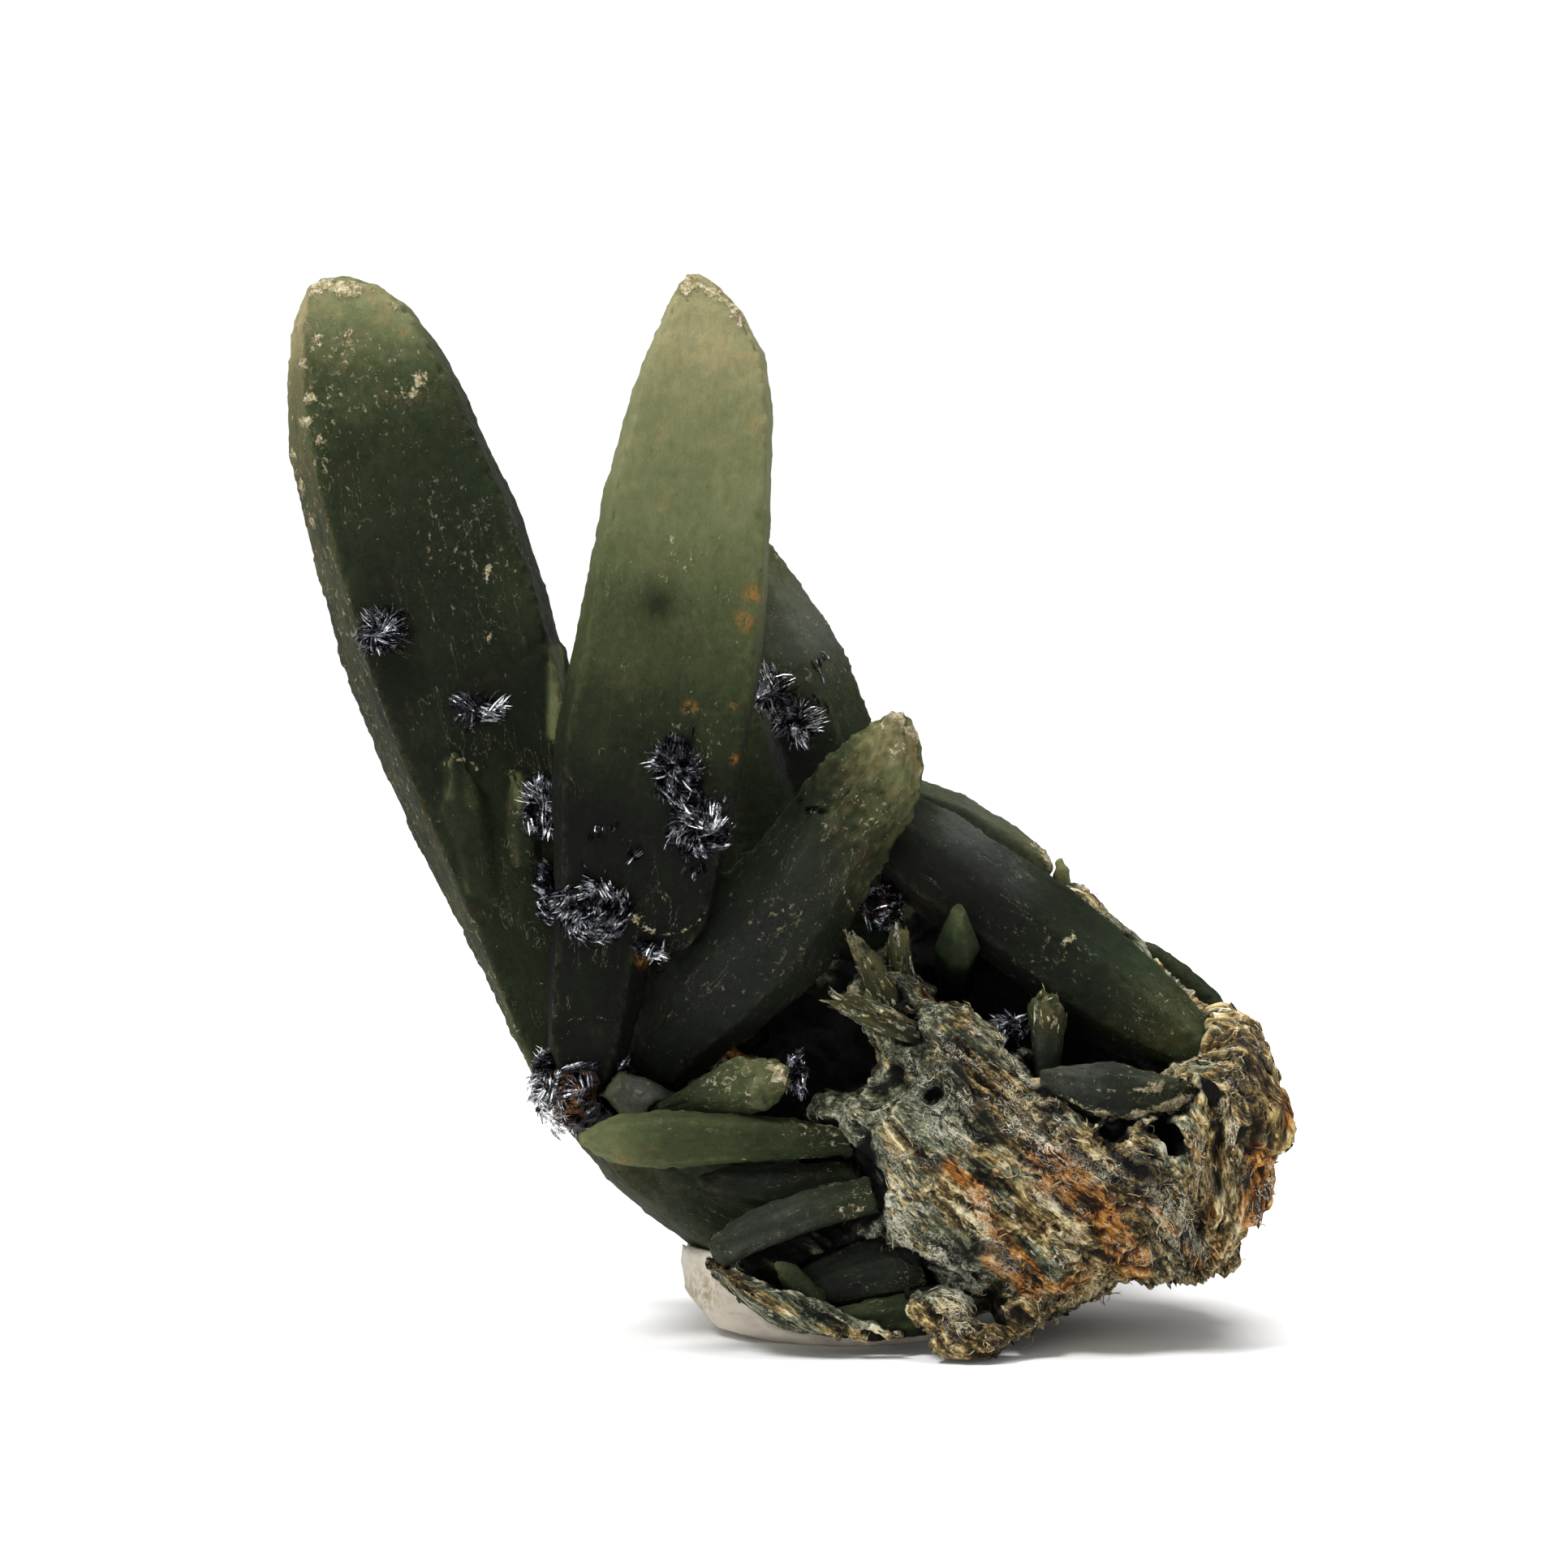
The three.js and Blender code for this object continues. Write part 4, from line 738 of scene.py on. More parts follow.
def crystal(name, spacing, root, tip, tones, crust=0.0, chips=1.0, ridges=1.0, brush=0.0, knobs=0.0,
            dusty=0.0):
    """Replaces a crystal by its finer, rougher form."""
    seed = 11 * (1 + list(CRYSTALS).index(name))
    root, tip = (np.array(end, float) if name.startswith("back") else seen(*end) for end in (root, tip))
    axis = tip - root
    length = np.linalg.norm(axis)
    axis /= length
    side = unit(np.cross(axis, [0.0, 1.0, 0.0]))

    skin = Skin(name, spacing)
    skin.soften(2)
    edge = skin.soften(3, rise(0.12, 0.6, skin.bulge(round(1.5 / spacing)) / 0.16))
    points, normal = skin.points, skin.normals()
    grain = (points - root) @ np.stack([side, np.cross(axis, side), axis], axis=1)
    along = grain[:, 2] / length
    facing = rise(-0.1, 0.3, -(normal @ AHEAD))

    def mark(kind):
        return marks(name, kind, skin.points, facing)

    move = relief(points, grain, seed, ridges)
    move -= chips * edge * chip_depth(points, seed, spacing < FINE_NET)
    move += chips * edge * 0.24 * noise(points, 0.8, seed + 11)
    knob = rise(0.5, 0.85, along) * (layered(points, 1.3, seed + 14, 2) - 0.2)
    move += knobs * knob
    crusted = crust_on(points, grain, along, edge, seed, crust, dusty, mark("crust"))
    move += rise(0.42, 0.6, crusted) * (0.06 + 0.12 * noise(points, 0.7, seed + 8))
    if name == "front_crystal":
        # the etched, granular part, right of the break
        across, up = (in_view(points) - FRONT_BREAK).T
        etched = rise(-0.6, 0.6, across + up * BREAK_SLANT) * facing * rise(0.3, 0.5, along)
        grains = layered(points, 0.95, seed + 9, 2)
        move += etched * (0.24 * grains - 0.22)
        crusted += etched * (0.1 + 0.3 * grains)

    skin.points = points + normal * move[:, None]
    splintered = noise(grain * [1, 1, 0.05], 0.8, seed + 13) - 0.2
    skin.points += axis * (brush * rise(0.55, 0.95, along) * splintered)[:, None]
    solid[name] = (skin.points, skin.quads)

    tone = np.interp(along + 0.03 * noise(points, 7.0, seed + 10), *zip(*tones))
    # The knob term paints the raised knobs lighter, as highlights on them.
    tone = tone + mark("tone") + 0.05 * edge + 0.5 * knobs * knob
    tone += 0.05 * (ridges - 1) * layered(grain * [1, 1, 0.2], 1.4, seed + 16)
    warm = 0.15 + 0.3 * rise(0.6, 1.0, along) + mark("warm")
    specks = mark("specks") + 0.3 * (1 - facing)
    if name == "front_crystal":
        # The etched part is a lighter, warmer tan, and its raised grains are painted lighter still, as
        # highlights.
        tone = tone + etched * (0.06 + 0.16 * grains)
        warm = warm + 0.3 * etched - 0.2 * rise(0.7, 0.9, along)
    if name == "left_crystal":
        # Painted light: the faces turned to the left are lighter and warmer, as if lit from the left, and get
        # more pale specks.
        left_lit_faces = rise(0.3, 0.85, -normal[:, 0] + 0.5 * layered(grain * [1, 1, 0.4], 3.0, seed + 15, 2))
        tone = tone + 0.16 * left_lit_faces
        warm = warm + 0.5 * left_lit_faces
        specks = np.maximum(specks, 0.6 * left_lit_faces)
    build(name + "_look", SLOTS[name], PRASE, skin.points, [skin.quads], replaces=name, tone=tone, edge=edge,
          crust=crusted, specks=specks, stain=mark("stain"), grain=grain + 7.3 * seed, warm=warm,
          slate=np.clip(mark("slate"), 0, 1), green=np.clip(mark("green"), 0, 1))


for name, values in CRYSTALS.items():
    crystal(name, **values)


# Rock

ROCK_NET = 0.40   # spacing of the net
FIBRE_PIVOT = np.array([33.0, 0.0, 22.0])
FIBRE_SLOPE, END_SLOPE = 38, 80   # degrees down to the right, over most of the rock and at its right end
LOWEST_ROCK, LOWEST_FIBRE = 0.5, 0.4   # over the floor
RIM_GAP = (1147, 1352)   # the pixel of a gap in the CAD shape's rim that the photo doesn't have
SPLINTERS, CURLS = 3600, 1000
# splinters on each small crystal, and how far up it they start (0 is the root, 1 the tip)
STUB_SPLINTERS = {"thin_blade_crystal": (120, -1), "splintered_crystal": (200, -1),
                  "pale_stub_crystal": (80, 0.1), "upright_stub_crystal": (50, 0.55)}


def grain_angle(points):
    """How steeply the fibres run down to the right."""
    return np.radians(FIBRE_SLOPE + (END_SLOPE - FIBRE_SLOPE) * rise(28, 39, points[:, 0]))


def fibre_place(points):
    """Coordinates whose first axis follows the fibres."""
    turn = grain_angle(points)
    cos, sin = np.cos(turn), np.sin(turn)
    across, deep, up = (points - FIBRE_PIVOT).T
    return np.stack([across * cos - up * sin, deep, across * sin + up * cos], axis=1)


# Bands on the rock's front: half width in pixels, strength, and the pixels that they run through.
ROCK_BANDS = {
    "rust": [
        (27, 1.3, (1284, 1429), (1320, 1462), (1352, 1492), (1374, 1526), (1396, 1556)),
        (12, 1.2, (1168, 1440), (1202, 1463), (1209, 1489), (1224, 1519), (1247, 1541), (1273, 1575)),
        (18, 1.3, (1225, 1552), (1272, 1582)), (12, 1.1, (1305, 1590), (1336, 1572)),
        (22, 1.4, (1553, 1422), (1560, 1460), (1548, 1500)), (12, 0.8, (1583, 1340), (1590, 1385)),
        (9, 0.7, (1400, 1470), (1440, 1512), (1480, 1560)),
        (12, 0.5, (1470, 1400), (1488, 1460), (1500, 1550)), (12, 0.6, (1376, 1378), (1440, 1412)),
        (24, 1.2, (905, 1290), (960, 1290)), (10, 0.9, (1070, 1135), (1080, 1150))],
    # painted shade: the holes in the rock's front
    "shaded_holes": [
        (15, 1.4, (1066, 1418), (1071, 1426)), (13, 1.3, (1398, 1440), (1410, 1444)),
        (7, 1.1, (1338, 1474), (1350, 1482)), (6, 1.1, (1296, 1470), (1322, 1496)),
        (6, 1.1, (1352, 1545), (1380, 1556)), (8, 1.1, (1498, 1445), (1502, 1470)),
        (8, 1.0, (1175, 1540), (1195, 1552)), (7, 1.0, (1240, 1620), (1262, 1632))],
    # painted shade: the cavities under the crystals, which lie in shadow
    "dark": [
        (42, 1.0, (1005, 1245), (1040, 1290)), (34, 1.0, (1040, 1290), (1068, 1320)),
        (30, 1.0, (1060, 1190), (1060, 1230)), (34, 1.0, (1190, 1215), (1240, 1240)),
        (26, 0.9, (985, 1340), (960, 1372)), (22, 0.8, (1105, 1330), (1112, 1345)),
        (26, 0.9, (955, 1250), (975, 1330)), (34, 0.9, (1130, 1120), (1150, 1170)),
        (24, 0.9, (1310, 1285), (1440, 1300))],
    "dim": [
        (50, 1.0, (1120, 1225), (1165, 1290), (1215, 1370), (1270, 1410)),
        (40, 1.0, (1400, 1450), (1470, 1530)), (26, 0.8, (1530, 1420), (1560, 1490)),
        (26, 0.4, (1250, 1590), (1300, 1605)), (40, 1.0, (1150, 1660), (1250, 1650)),
        (36, 1.0, (1530, 1290), (1560, 1380))],
    "tan": [
        (20, 0.9, (1195, 1480), (1245, 1555)), (26, 0.9, (1347, 1415), (1390, 1460), (1433, 1504)),
        (24, 0.8, (1284, 1500), (1344, 1560)),
        (26, 1.0, (1510, 1350), (1515, 1420), (1495, 1480), (1510, 1540)),
        (40, 1.2, (1140, 1650), (1250, 1655)), (22, 0.6, (1340, 1580), (1396, 1590)),
        (30, 0.6, (1205, 1320), (1265, 1390)), (40, 0.7, (1560, 1270), (1590, 1370)),
        (16, 0.6, (1090, 1390), (1160, 1450)), (12, 0.6, (1150, 1470), (1240, 1510)),
        (9, 0.9, (870, 1550), (925, 1592), (1000, 1632), (1080, 1652))],
    "cream": [
        (14, 1.1, (1450, 1482), (1452, 1526)), (16, 1.0, (1195, 1480), (1215, 1520), (1245, 1555)),
        (10, 0.9, (1420, 1490), (1480, 1540)), (10, 1.0, (1280, 1400), (1336, 1433), (1360, 1446)),
        (20, 1.0, (1164, 1541), (1190, 1585), (1180, 1627)),
        (28, 0.7, (1070, 1430), (1090, 1500), (1130, 1560)), (12, 0.8, (1500, 1355), (1520, 1400)),
        (14, 0.8, (1290, 1480), (1330, 1498)), (14, 0.9, (1150, 1390), (1190, 1400)),
        (10, 0.7, (1120, 1300), (1160, 1370)), (10, 0.7, (1235, 1250), (1262, 1330))],
}


def tree_of(names):
    """The shapes of pieces as one tree for rays."""
    corners, faces, start = [], [], 0
    for name in names:
        points, quads = solid[name]
        corners.append(points)
        faces.append(quads + start)
        start += len(points)
    return BVHTree.FromPolygons(np.concatenate(corners).tolist(), np.concatenate(faces).tolist())


def first_hit(tree, place):
    """What a line of sight through a place meets: point, normal, face, distance."""
    return tree.ray_cast(Vector(EYE), Vector(unit(place - EYE)))


def stairs(height):
    """Steps with short slopes between them."""
    return np.clip(np.floor(height) + rise(0.4, 0.6, height - np.floor(height)), -3, 3)


def make_rock():
    """The rock's net with its relief, and parts of that relief for its colours: the steps, the streaks that
    are painted lighter and the slits that are painted darker.
    """
    skin = Skin("matrix_rock", ROCK_NET)
    skin.soften(1)
    points = skin.points
    normal = skin.normals()
    wander = np.stack([layered(points, 3.5, axis, 2) for axis in range(3)], axis=1)
    fibre = fibre_place(points) + 0.35 * wander
    end = rise(31, 38, points[:, 0])   # the right end, which splits into sheets
    fibre *= (1 - 0.35 * end)[:, None]
    # plates along the grain, streaks, slits and a ragged rim
    height = layered(fibre * [0.25, 1, 1], 4.2, 4, 2) / 0.2
    thin = layered(fibre * [0.2, 1, 1], 2.2, 9, 2) / 0.22
    streak = 0.3 - np.abs(noise(fibre * [0.18, 1, 1], 1.0, 6))
    slit = rise(0.30, 0.42, noise(fibre * [0.22, 1, 1], 1.5, 7))
    rim = rise(0.45, 0.1, np.abs(normal @ AHEAD))
    move = (0.2 + 0.25 * end) * stairs(height) + 0.14 * stairs(thin) + 0.25 * streak
    rim *= rise(0, 12, points[:, 0])
    move += rim * (1.3 * layered(fibre * [0.6, 1, 1], 2.0, 12, 3) - 0.2)
    move -= 0.25 * rise(12, 4, points[:, 0]) + 0.6 * slit
    skin.points = points + normal * move[:, None]
    # the gap in the rim, smoothed until it closes
    filled = spot(in_view(points), pixel(*RIM_GAP), 2.2, 4)[:, None] * (points[:, 1:2] < 14)
    for _ in range(80):
        skin.points += filled * (skin.around(skin.points) - skin.points)
    uncover(skin, "ledge_crystal", 4.5)
    skin.points[:, 2] = np.maximum(skin.points[:, 2], LOWEST_ROCK)
    return skin, fibre, stairs(height) - height, streak, slit


def uncover(skin, name, reach):
    """Pushes the part of a skin that lies less than reach in front of a crystal just behind its surface."""
    tree = tree_of([name])
    distance = np.linalg.norm(skin.points - EYE, axis=1)
    low, high = solid[name][0].min(axis=0) - 2, solid[name][0].max(axis=0) + 2
    for index in np.flatnonzero(np.all((skin.points > low) & (skin.points < high), axis=1)):
        hit = first_hit(tree, skin.points[index])[3]
        if hit is not None and -0.3 < hit - distance[index] < reach:
            skin.points[index] = EYE + (skin.points[index] - EYE) * (hit + 0.5) / distance[index]


def rock_zones(points):
    """The shares of tan, rust and cream at places of the rock."""
    front = rise(18, 8, points[:, 1])
    left = 0.3 * rise(3, -6, points[:, 0])
    rust = front * bands(points, ROCK_BANDS["rust"]) + (1 - front) * 0.25 + 0.35 * layered(points, 6.0, 21)
    tan = 0.2 + 0.3 * rise(4, 30, points[:, 0]) + front * bands(points, ROCK_BANDS["tan"]) + (1 - front) * 0.3
    tan = tan + 0.4 * noise(points, 7.0, 22) - left + 0.25 * bands(points, ROCK_BANDS["dim"])
    cream = 0.25 + front * bands(points, ROCK_BANDS["cream"]) + 0.3 * noise(points, 5.0, 23) - left
    return tan, np.clip(rust, -1, 1.2), np.clip(cream, 0, 1)


rock_skin, rock_fibre, rock_slope, rock_ridge_light, rock_slit_shade = make_rock()
solid["matrix_rock"] = (rock_skin.points, rock_skin.quads)
everything = tree_of(solid)


def closed_in(points, normals, rays=9, reach=14.0):
    """How much of the space over each point is blocked close by, 0 to 1."""
    blocked = np.zeros(len(points))
    starts = points + normals * 0.35
    for _ in range(rays):
        ways = unit(normals + 0.95 * unit(chance.normal(size=points.shape)))
        for index in range(len(points)):
            distance = everything.ray_cast(Vector(starts[index]), Vector(ways[index]), reach)[3]
            if distance is not None:
                blocked[index] += 1 - distance / reach
    return blocked / rays


rock_x, rock_y, rock_z = rock_skin.points.T
rock_normals = rock_skin.normals()
# Painted shade: the rock is made darker where other shapes close it in, in the marked cavities and holes, and
# in the slits.
rock_closed = rock_skin.soften(2, closed_in(rock_skin.points, rock_normals))
rock_cavity_shade = bands(rock_skin.points, ROCK_BANDS["dark"]) * rise(-3, 2, rock_y) * rise(20, 14, rock_y)
rock_hollow = rise(0.24, 0.56, rock_closed + 0.5 * rock_cavity_shade) + 0.7 * rock_slit_shade
rock_hollow = np.clip(rock_hollow + bands(rock_skin.points, ROCK_BANDS["shaded_holes"]) * rise(14, 4, rock_y), 0, 1)
rock_tan, rock_rust, rock_cream = rock_zones(rock_skin.points)
rock_dim = 0.1 * rise(4, -4, rock_x) * rise(14, 8, rock_z) + 0.5 * bands(rock_skin.points, ROCK_BANDS["dim"])
# Painted light and shade of the relief: lighter where the net bulges out and along the raised streaks, darker
# in the dips. rock_dim makes some bands and the lower left darker.
rock_shade = 0.5 + 0.5 * np.clip(rock_skin.bulge(3) / 0.3, -1, 1) + 0.8 * rock_ridge_light - rock_dim
build("matrix_rock_look", SLOTS["matrix_rock"], ROCK, rock_skin.points, [rock_skin.quads],
      replaces="matrix_rock", fibre=rock_fibre, tan=rock_tan + 0.4 * rock_slope,
      rust=rock_rust + 0.2 * rock_slope, cream=rock_cream, hollow=rock_hollow, shade=rock_shade)


def on_rock(count, most_hollow, favour):
    """Places all over the rock: point, normal and the number of the nearest net point."""
    corner, vertex = rock_skin.points[rock_skin.quads], rock_skin.quads[:, 0]
    face = pick(corner, count, (rock_hollow[vertex] < most_hollow) * favour[vertex])
    return corner[face].mean(axis=1), rock_normals[vertex[face]], vertex[face]


def straight(at, way, length):
    """Four stations along each splinter."""
    root = at - way * (length * 0.45)[:, None]
    return root[:, None] + way[:, None] * (length[:, None] * np.array([0, 0.25, 0.75, 1]))[:, :, None]


def fibre_piece(name, lines, side, width, flatness, at, vertex, shade):
    """A piece of many strands, each with the rock's colours and painted shade where it lies."""
    points, three, four = strands(lines, side, width, flatness)
    points[:, 2] = np.maximum(points[:, 2], LOWEST_FIBRE)
    each = np.repeat(np.arange(len(at)), len(points) // len(at))
    tan, rust, _ = rock_zones(at)
    tan = tan + 0.5 * chance.normal(size=len(at))
    rust = rust + 0.15 * chance.normal(size=len(at))
    build(name, SLOTS["matrix_rock"], ROCK, points, [three, four], smooth=False, fibre=fibre_place(points),
          tan=tan[each], rust=rust[each], cream=np.zeros(len(points)), hollow=rock_hollow[vertex][each],
          shade=shade[each])


def make_splinters(count):
    """Flat splinters that lie along the rock's grain."""
    at, normal, vertex = on_rock(count, 0.5, 0.15 + 0.85 * rise(0.1, 0.5, np.abs(rock_normals @ AHEAD)))
    turn = grain_angle(at) + chance.normal(size=count) * 0.10 + 0.25 * noise(at, 5.0, 31)
    way = np.stack([np.cos(turn), 0.2 * chance.normal(size=count), -np.sin(turn)], axis=1)
    way *= np.where(chance.random(count) < 0.5, -1, 1)[:, None]
    way = unit(in_surface(way, normal) + normal * (0.01 + 0.06 * chance.random(count))[:, None])
    side = unit(np.cross(way, normal) + 0.35 * normal * chance.normal(size=count)[:, None])
    length = 0.6 + 1.6 * chance.random(count) ** 2
    width = 0.10 + 0.30 * chance.random(count) ** 2
    shade = 0.15 + 0.8 * chance.random(count) - rock_dim[vertex]
    lines = straight(at + normal * 0.02, way, length)
    fibre_piece("rock_splinters", lines, side, width, 0.22, at, vertex, shade)


def make_curls(count):
    """Fine pale fibres, felted over the grey-green part."""
    favour = rise(0.2, 0.8, rock_cream) * rise(-0.1, 0.5, layered(rock_skin.points, 3.0, 33)) + 0.03
    favour = favour * rise(0.35, 0.6, np.abs(rock_normals @ AHEAD))
    at, normal, vertex = on_rock(count, 0.45, favour)
    turn = grain_angle(at) + chance.normal(size=count) * 0.5
    point, lines = at + normal * 0.03, []
    bend = 0.5 * chance.normal(size=count)
    step = 0.22 + 0.30 * chance.random(count)
    for _ in range(6):
        lines.append(point)
        way = np.stack([np.cos(turn), 0.3 * np.sin(3 * turn), -np.sin(turn)], axis=1)
        way = unit(in_surface(way, normal))
        point = point + way * step[:, None] + normal * (0.05 * chance.normal(size=count))[:, None]
        turn = turn + bend + 0.35 * chance.normal(size=count)
    lines = np.stack(lines, axis=1)
    side = unit(np.cross(unit(lines[:, -1] - lines[:, 0]), normal))
    fibre_piece("rock_curls", lines, side, 0.035 + 0.045 * chance.random(count), 0.8, at, vertex,
                0.9 + 0.35 * chance.random(count))


def clad_stubs():
    """Flat fibres along the small splintered crystals, which have the rock's colours."""
    parts = []
    for name, (count, low) in STUB_SPLINTERS.items():
        points, quads = solid[name]
        corner = points[quads]
        root, tip = seen(*CRYSTALS[name]["root"]), seen(*CRYSTALS[name]["tip"])
        along = (corner.mean(axis=1) - root) @ (tip - root) / ((tip - root) @ (tip - root))
        corner = corner[pick(corner, count, along > low)]
        parts.append((corner.mean(axis=1), unit(crossed(corner)), np.tile(unit(tip - root), (count, 1))))
    at, normal, axis = (np.concatenate(part) for part in zip(*parts))
    count = len(at)
    way = axis + 0.08 * chance.normal(size=(count, 3))
    way = unit(in_surface(way, normal) + normal * (0.02 + 0.08 * chance.random(count))[:, None])
    side = unit(np.cross(way, normal) + 0.4 * normal * chance.normal(size=count)[:, None])
    length, width = 0.7 + 1.8 * chance.random(count), 0.10 + 0.22 * chance.random(count)
    points, three, four = strands(straight(at, way, length), side, width, 0.3)
    each = np.repeat(np.arange(count), len(points) // count)
    flat = np.zeros(len(points))
    build("stub_splinters", "prase", ROCK, points, [three, four], smooth=False, fibre=fibre_place(points),
          tan=(0.25 + 0.35 * chance.normal(size=count))[each], rust=flat - 0.4, cream=flat, hollow=flat,
          shade=(0.1 + 0.9 * chance.random(count))[each])


make_splinters(SPLINTERS)
clad_stubs()
make_curls(CURLS)


# Hematite

BLADE_POINTS = 14
ROSE_NET = 0.4


def blades(places, ways, stands, lengths, heights, thickness):
    """Thin pointed plates on edge, of BLADE_POINTS points each."""
    sides = unit(np.cross(ways, stands))
    curve = chance.normal(size=len(places)) * 0.10
    rings = []
    for share in (-0.55, 0.0, 0.55):
        rim = math.sqrt(1 - share * share)
        middle = (places + ways * (lengths * share / 2)[:, None]
                  + sides * (curve * lengths * (1 - share * share))[:, None])
        low, high = stands * (heights * 0.35 * rim)[:, None], stands * (heights * 0.65 * rim)[:, None]
        out = sides * (thickness * rim)[:, None]
        rings += [middle - low, middle + out, middle + high, middle - out]
    ends = [places - ways * (lengths / 2)[:, None], places + ways * (lengths / 2)[:, None]]
    points = np.stack([ends[0]] + rings + [ends[1]], axis=1).reshape(-1, 3)
    return points, *tube_faces(len(places), BLADE_POINTS, 4)


def each_blade(values):
    """One value for each point, from one for each blade."""
    return np.repeat(values, BLADE_POINTS)


def outward(place):
    """The direction that the surface at a place faces, as the camera meets it."""
    hit, normal, _, _ = first_hit(everything, place)
    return np.array(normal) if hit is not None else -AHEAD


# For each rosette: bunches of blades, blades in a bunch, their length, the turn of the swirl in degrees
# (0 is a star, 90 a whorl), and the shares of pale blades, painted silvery as glints, and of stained blades.
ROSES = {
    1: (60, 5, 2.2, 12, 0.08, 0), 2: (26, 5, 2.3, 5, 0.3, 0), 3: (90, 6, 2.2, 35, 0.06, 0),
    4: (60, 5, 1.8, 50, 0.03, 0), 5: (90, 6, 2.2, 20, 0.06, 0), 6: (130, 6, 2.1, 65, 0.08, 0),
    7: (200, 6, 2.0, 78, 0.1, 0), 8: (26, 5, 1.5, 20, 0, 0), 9: (260, 6, 2.0, 75, 0.16, 0),
    10: (44, 5, 2.5, 15, 0.5, 0), 11: (48, 5, 2.4, 25, 0.5, 0), 12: (70, 5, 2.0, 25, 0.03, 0.1),
    13: (44, 5, 1.9, 50, 0, 0), 14: (46, 5, 2.1, 40, 0.05, 0),
}
GLINTING_ROSE = 9
GLINT_PATCH, RUST = (-24.6, 23.6), (-24.6, 26.8)   # its patch of blades painted silvery as glints, and its rusty part, in the view


def bunches(at, up, way, size, each, rise_out=0.0):
    """Blades that stand on places of a surface in bunches, side by side and fanned out a little."""
    count = len(at)
    number = np.repeat(np.arange(count), each)
    rank = np.tile(np.arange(each), count) - (each - 1) / 2
    lean = (0.35 * chance.normal(size=count))[number] + 0.12 * chance.normal(size=len(rank))
    up, way = up[number], way[number]
    side = np.cross(way, up)
    fan = 0.06 * rank + 0.07 * chance.normal(size=len(rank))
    lift = (0.2 * chance.normal(size=count) + rise_out)[number] + 0.08 * chance.normal(size=len(rank))
    way = unit(way * np.cos(fan)[:, None] + side * np.sin(fan)[:, None] + up * lift[:, None])
    stand = unit(np.cross(side, way) * np.cos(lean)[:, None] + side * np.sin(lean)[:, None])
    lengths = np.broadcast_to(size, count)[number] * (0.7 + 0.75 * chance.random(len(rank)))
    heights = 0.12 + 0.18 * chance.random(len(rank))
    place = at[number] + side * (0.16 * rank + 0.03 * chance.normal(size=len(rank)))[:, None] + up * 0.1
    place = place + way * (0.25 * rise_out * lengths)[:, None]
    return blades(place, way, stand, lengths, heights, 0.025 + 0.02 * chance.random(len(rank))), number


def rose(number, count, each, size, swirl, pale, stain):
    """Replaces a rosette by a rough core and the blades that stand on it."""
    name = f"hematite_rose_{number}"
    skin = Skin(name, ROSE_NET)
    skin.soften(1)
    normal = skin.normals()
    middle = skin.points.mean(axis=0)
    core = skin.points + normal * (0.25 * noise(skin.points, 0.8, number) - 0.45)[:, None]
    corner, vertex = core[skin.quads], skin.quads[:, 0]
    face = pick(corner, count, rise(-0.15, 0.25, normal[vertex] @ outward(middle)))
    at, up = corner[face].mean(axis=1), normal[vertex[face]]
    radial = unit(in_surface(at - middle, up))
    ring = np.cross(up, radial)
    turn = np.radians(swirl) + 0.8 * noise(at, 3.4, 40 + number) + 0.22 * chance.normal(size=count)
    way = unit(radial * np.cos(turn)[:, None] + ring * np.sin(turn)[:, None])
    (points, three, four), bunch = bunches(at, up, way, size, each, 0.30)
    start, blade_count = len(core), len(bunch)
    # Painted glints and shade: pale blades are silvery, and each bunch is painted brighter or darker at
    # random.
    white = (chance.random(count) < pale)[bunch] * 0.8 * (chance.random(blade_count) < 0.7)
    shade = (chance.random(count) ** 1.2)[bunch] + 0.3 * chance.random(blade_count)
    core_stain = np.full(start, float(stain))
    # A patch of blades painted silvery, as glints, and a rusty core.
    if number == GLINTING_ROSE:
        silvery_glints = spot(in_view(at), GLINT_PATCH, 2.2)[bunch]
        white = np.maximum(white, (chance.random(blade_count) < 1.3 * silvery_glints) * 1.0)
        core_stain = spot(in_view(core), RUST, 1.8)
    rusty = (chance.random(blade_count) < stain * 0.3) * 1.0
    solid[name] = (core, skin.quads)
    build(name + "_look", SLOTS[name], HEMATITE, np.concatenate([core, points]),
          [skin.quads, three + start, four + start], smooth=False, replaces=name,
          pale=np.concatenate([np.zeros(start), each_blade(white)]),
          # the core is painted near black, as the shade between the blades
          shade=np.concatenate([np.full(start, -1.0), each_blade(shade)]),
          stain=np.concatenate([core_stain, each_blade(rusty)]))


for number, values in ROSES.items():
    rose(number, *values)


# Loose blades: pixel of the photo, radius in pixels, bunches, length, turn in degrees, how far it varies,
# and the share of pale ones, which are painted silvery as glints.
FLECKS = [
    (782, 1052, 11, 9, 1.2, 60, 20, 0.1), (1000, 995, 14, 5, 1.3, -8, 8, 0),
    (1015, 822, 12, 4, 1.5, -50, 12, 0.05), (1008, 860, 8, 2, 1.2, -60, 12, 0.05),
    (850, 985, 16, 22, 1.4, 80, 35, 0.1), (862, 1000, 20, 22, 1.4, 60, 35, 0.1),
    (832, 930, 24, 18, 1.5, 70, 40, 0.1), (590, 868, 22, 8, 1.7, 10, 50, 0.15),
    (742, 1022, 16, 8, 0.8, 85, 10, 0.1), (850, 1075, 22, 8, 1.0, 75, 25, 0.1),
    (810, 1178, 16, 8, 1.2, -20, 30, 0.1), (470, 775, 26, 10, 1.8, 5, 15, 0.1),
    (715, 1085, 26, 10, 1.2, 70, 40, 0.05), (955, 855, 18, 12, 1.9, 60, 35, 0.35),
    (990, 885, 22, 12, 1.9, 80, 35, 0.35),
]


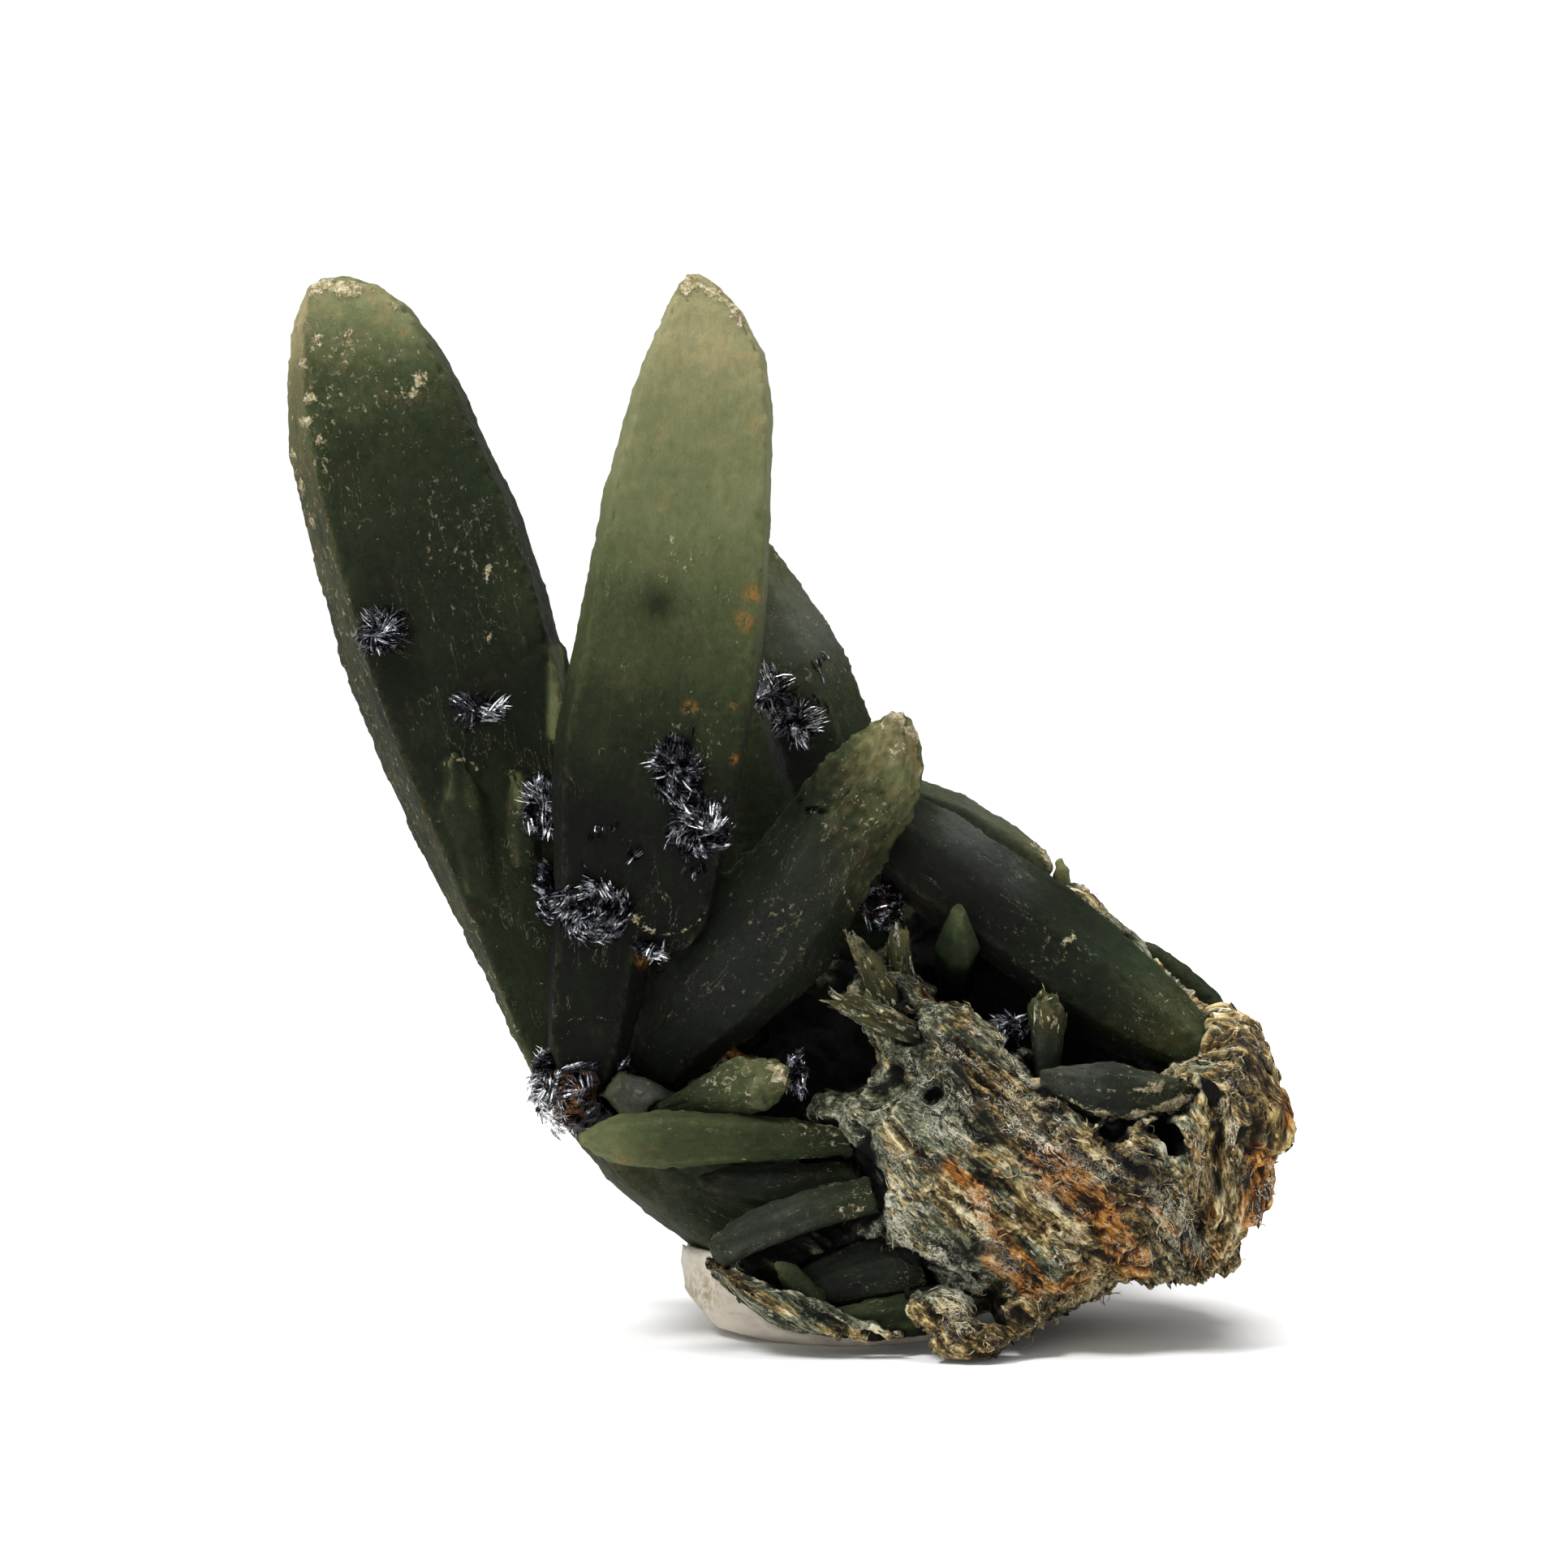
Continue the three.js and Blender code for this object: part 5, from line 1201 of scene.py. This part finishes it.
def make_flecks():
    """Loose blades on the crystals, where the photo shows them."""
    found = []
    for x, y, radius, count, size, turn, spread, pale in FLECKS:
        for _ in range(count):
            away = chance.normal(size=2) * radius * 0.5
            hit, up, _, _ = first_hit(everything, seen(*pixel(x + away[0], y + away[1]), 0))
            if hit is not None:
                angle = math.radians(turn + spread * chance.normal())
                way = unit(in_surface(np.array([math.cos(angle), 0.0, math.sin(angle)]), np.array(up)))
                found.append((hit, up, way, size, pale))
    places, ups, ways, sizes, pales = (np.array(column) for column in zip(*found))
    (points, three, four), bunch = bunches(places, ups, ways, sizes, 3)
    share = pales[bunch]
    build("hematite_flecks", "hematite", HEMATITE, points, [three, four], smooth=False,
          # pale blades are painted silvery, as glints
          pale=each_blade((chance.random(len(bunch)) < share) * 0.8),
          shade=each_blade(0.1 + chance.random(len(bunch)) - 1.4 * (share == 0)), stain=np.zeros(len(points)))


make_flecks()


# Putty

PUTTY_NET = 0.7
PUTTY_DENT = (862, 1592)   # the dent's pixel


def make_putty():
    """The lump of putty, with the dent that the photo shows in its front."""
    skin = Skin("mounting_putty", PUTTY_NET)
    skin.soften(3)
    points, normal = skin.points, skin.normals()
    move = 0.30 * noise(points, 5.0, 61) + 0.10 * noise(points * [1, 1, 1.6], 2.0, 62)
    dent = spot(in_view(points), pixel(*PUTTY_DENT), 2.2) * (normal[:, 1] < 0)
    move -= dent * (0.25 + 0.35 * np.abs(noise(points, 1.1, 63)))
    low = rise(0.0, 1.2, points[:, 2])
    skin.points = points + normal * (move * low)[:, None]
    skin.points[:, 2] = np.maximum(skin.points[:, 2], 0)
    build("mounting_putty_look", SLOTS["mounting_putty"], PUTTY, skin.points, [skin.quads],
          replaces="mounting_putty", stain=dent)


make_putty()


# Floor, light, camera

FLOOR_RADIUS, FLOOR_SIDES = 0.6, 96   # metres
CAMERA_ANGLE = 15.66                  # degrees across the picture
LAMPS_AIM = Vector((0, 0, 0.04))      # metres


def make_stage():
    """A pale round floor."""
    look = Shader("pale_floor", roughness=0.7, specular_ior_level=0.2)
    shade = look.noise(look.place(), 0.004, 3.0, 0.5)
    look.set("Base Color", look.ramp(shade, (0.3, 0.86, 0.86, 0.86), (0.7, 0.88, 0.88, 0.88)))
    mesh = bpy.data.meshes.new("floor")
    turns = [2 * math.pi * step / FLOOR_SIDES for step in range(FLOOR_SIDES)]
    rim = [(FLOOR_RADIUS * math.cos(turn), FLOOR_RADIUS * math.sin(turn), 0) for turn in turns]
    mesh.from_pydata(rim, [], [tuple(range(FLOOR_SIDES))])
    mesh.materials.append(look.material)
    floor = bpy.data.objects.new("floor", mesh)
    scene.collection.objects.link(floor)


def lamp(name, place, size, power):
    """A round soft lamp, in metres and watts."""
    light = bpy.data.lights.new(name, "AREA")
    light.shape = "DISK"
    light.size = size
    light.energy = power
    body = bpy.data.objects.new(name, light)
    body.location = place
    body.rotation_euler = (LAMPS_AIM - Vector(place)).to_track_quat("-Z", "Y").to_euler()
    scene.collection.objects.link(body)


def make_world():
    """A bright room whose wall behind the object is white and whose front is dimmer."""
    world = bpy.data.worlds.new("studio")
    world.use_nodes = True
    tree = world.node_tree
    place = tree.nodes.new("ShaderNodeTexCoord")
    parts = tree.nodes.new("ShaderNodeSeparateXYZ")
    level = tree.nodes.new("ShaderNodeMapRange")
    level.interpolation_type = "SMOOTHSTEP"
    for socket, value in (("From Min", 0.25), ("From Max", 0.95), ("To Min", 0.42), ("To Max", 1.04)):
        level.inputs[socket].default_value = value
    tree.links.new(place.outputs["Generated"], parts.inputs[0])
    tree.links.new(parts.outputs[1], level.inputs["Value"])
    tree.links.new(level.outputs[0], tree.nodes["Background"].inputs[1])
    tree.nodes["Background"].inputs[0].default_value = (1, 1, 1, 1)
    scene.world = world


make_stage()
make_world()
lamp("key_light", (-0.5, -0.25, 0.9), 0.3, 10.0)
lamp("fill_light", (-0.35, -0.75, 0.08), 0.5, 2.4)
lamp("top_light", (0.2, 0.1, 1.1), 0.6, 12.0)

lens = bpy.data.cameras.new("camera")
lens.sensor_fit = "HORIZONTAL"
lens.sensor_width = 36
lens.angle = math.radians(CAMERA_ANGLE)
lens.clip_start = 0.01   # metres
camera = bpy.data.objects.new("camera", lens)
camera.location = EYE / MM
camera.rotation_euler = Vector(AIM - EYE).to_track_quat("-Z", "Y").to_euler()
scene.collection.objects.link(camera)
scene.camera = camera
scene.view_settings.view_transform = "Standard"
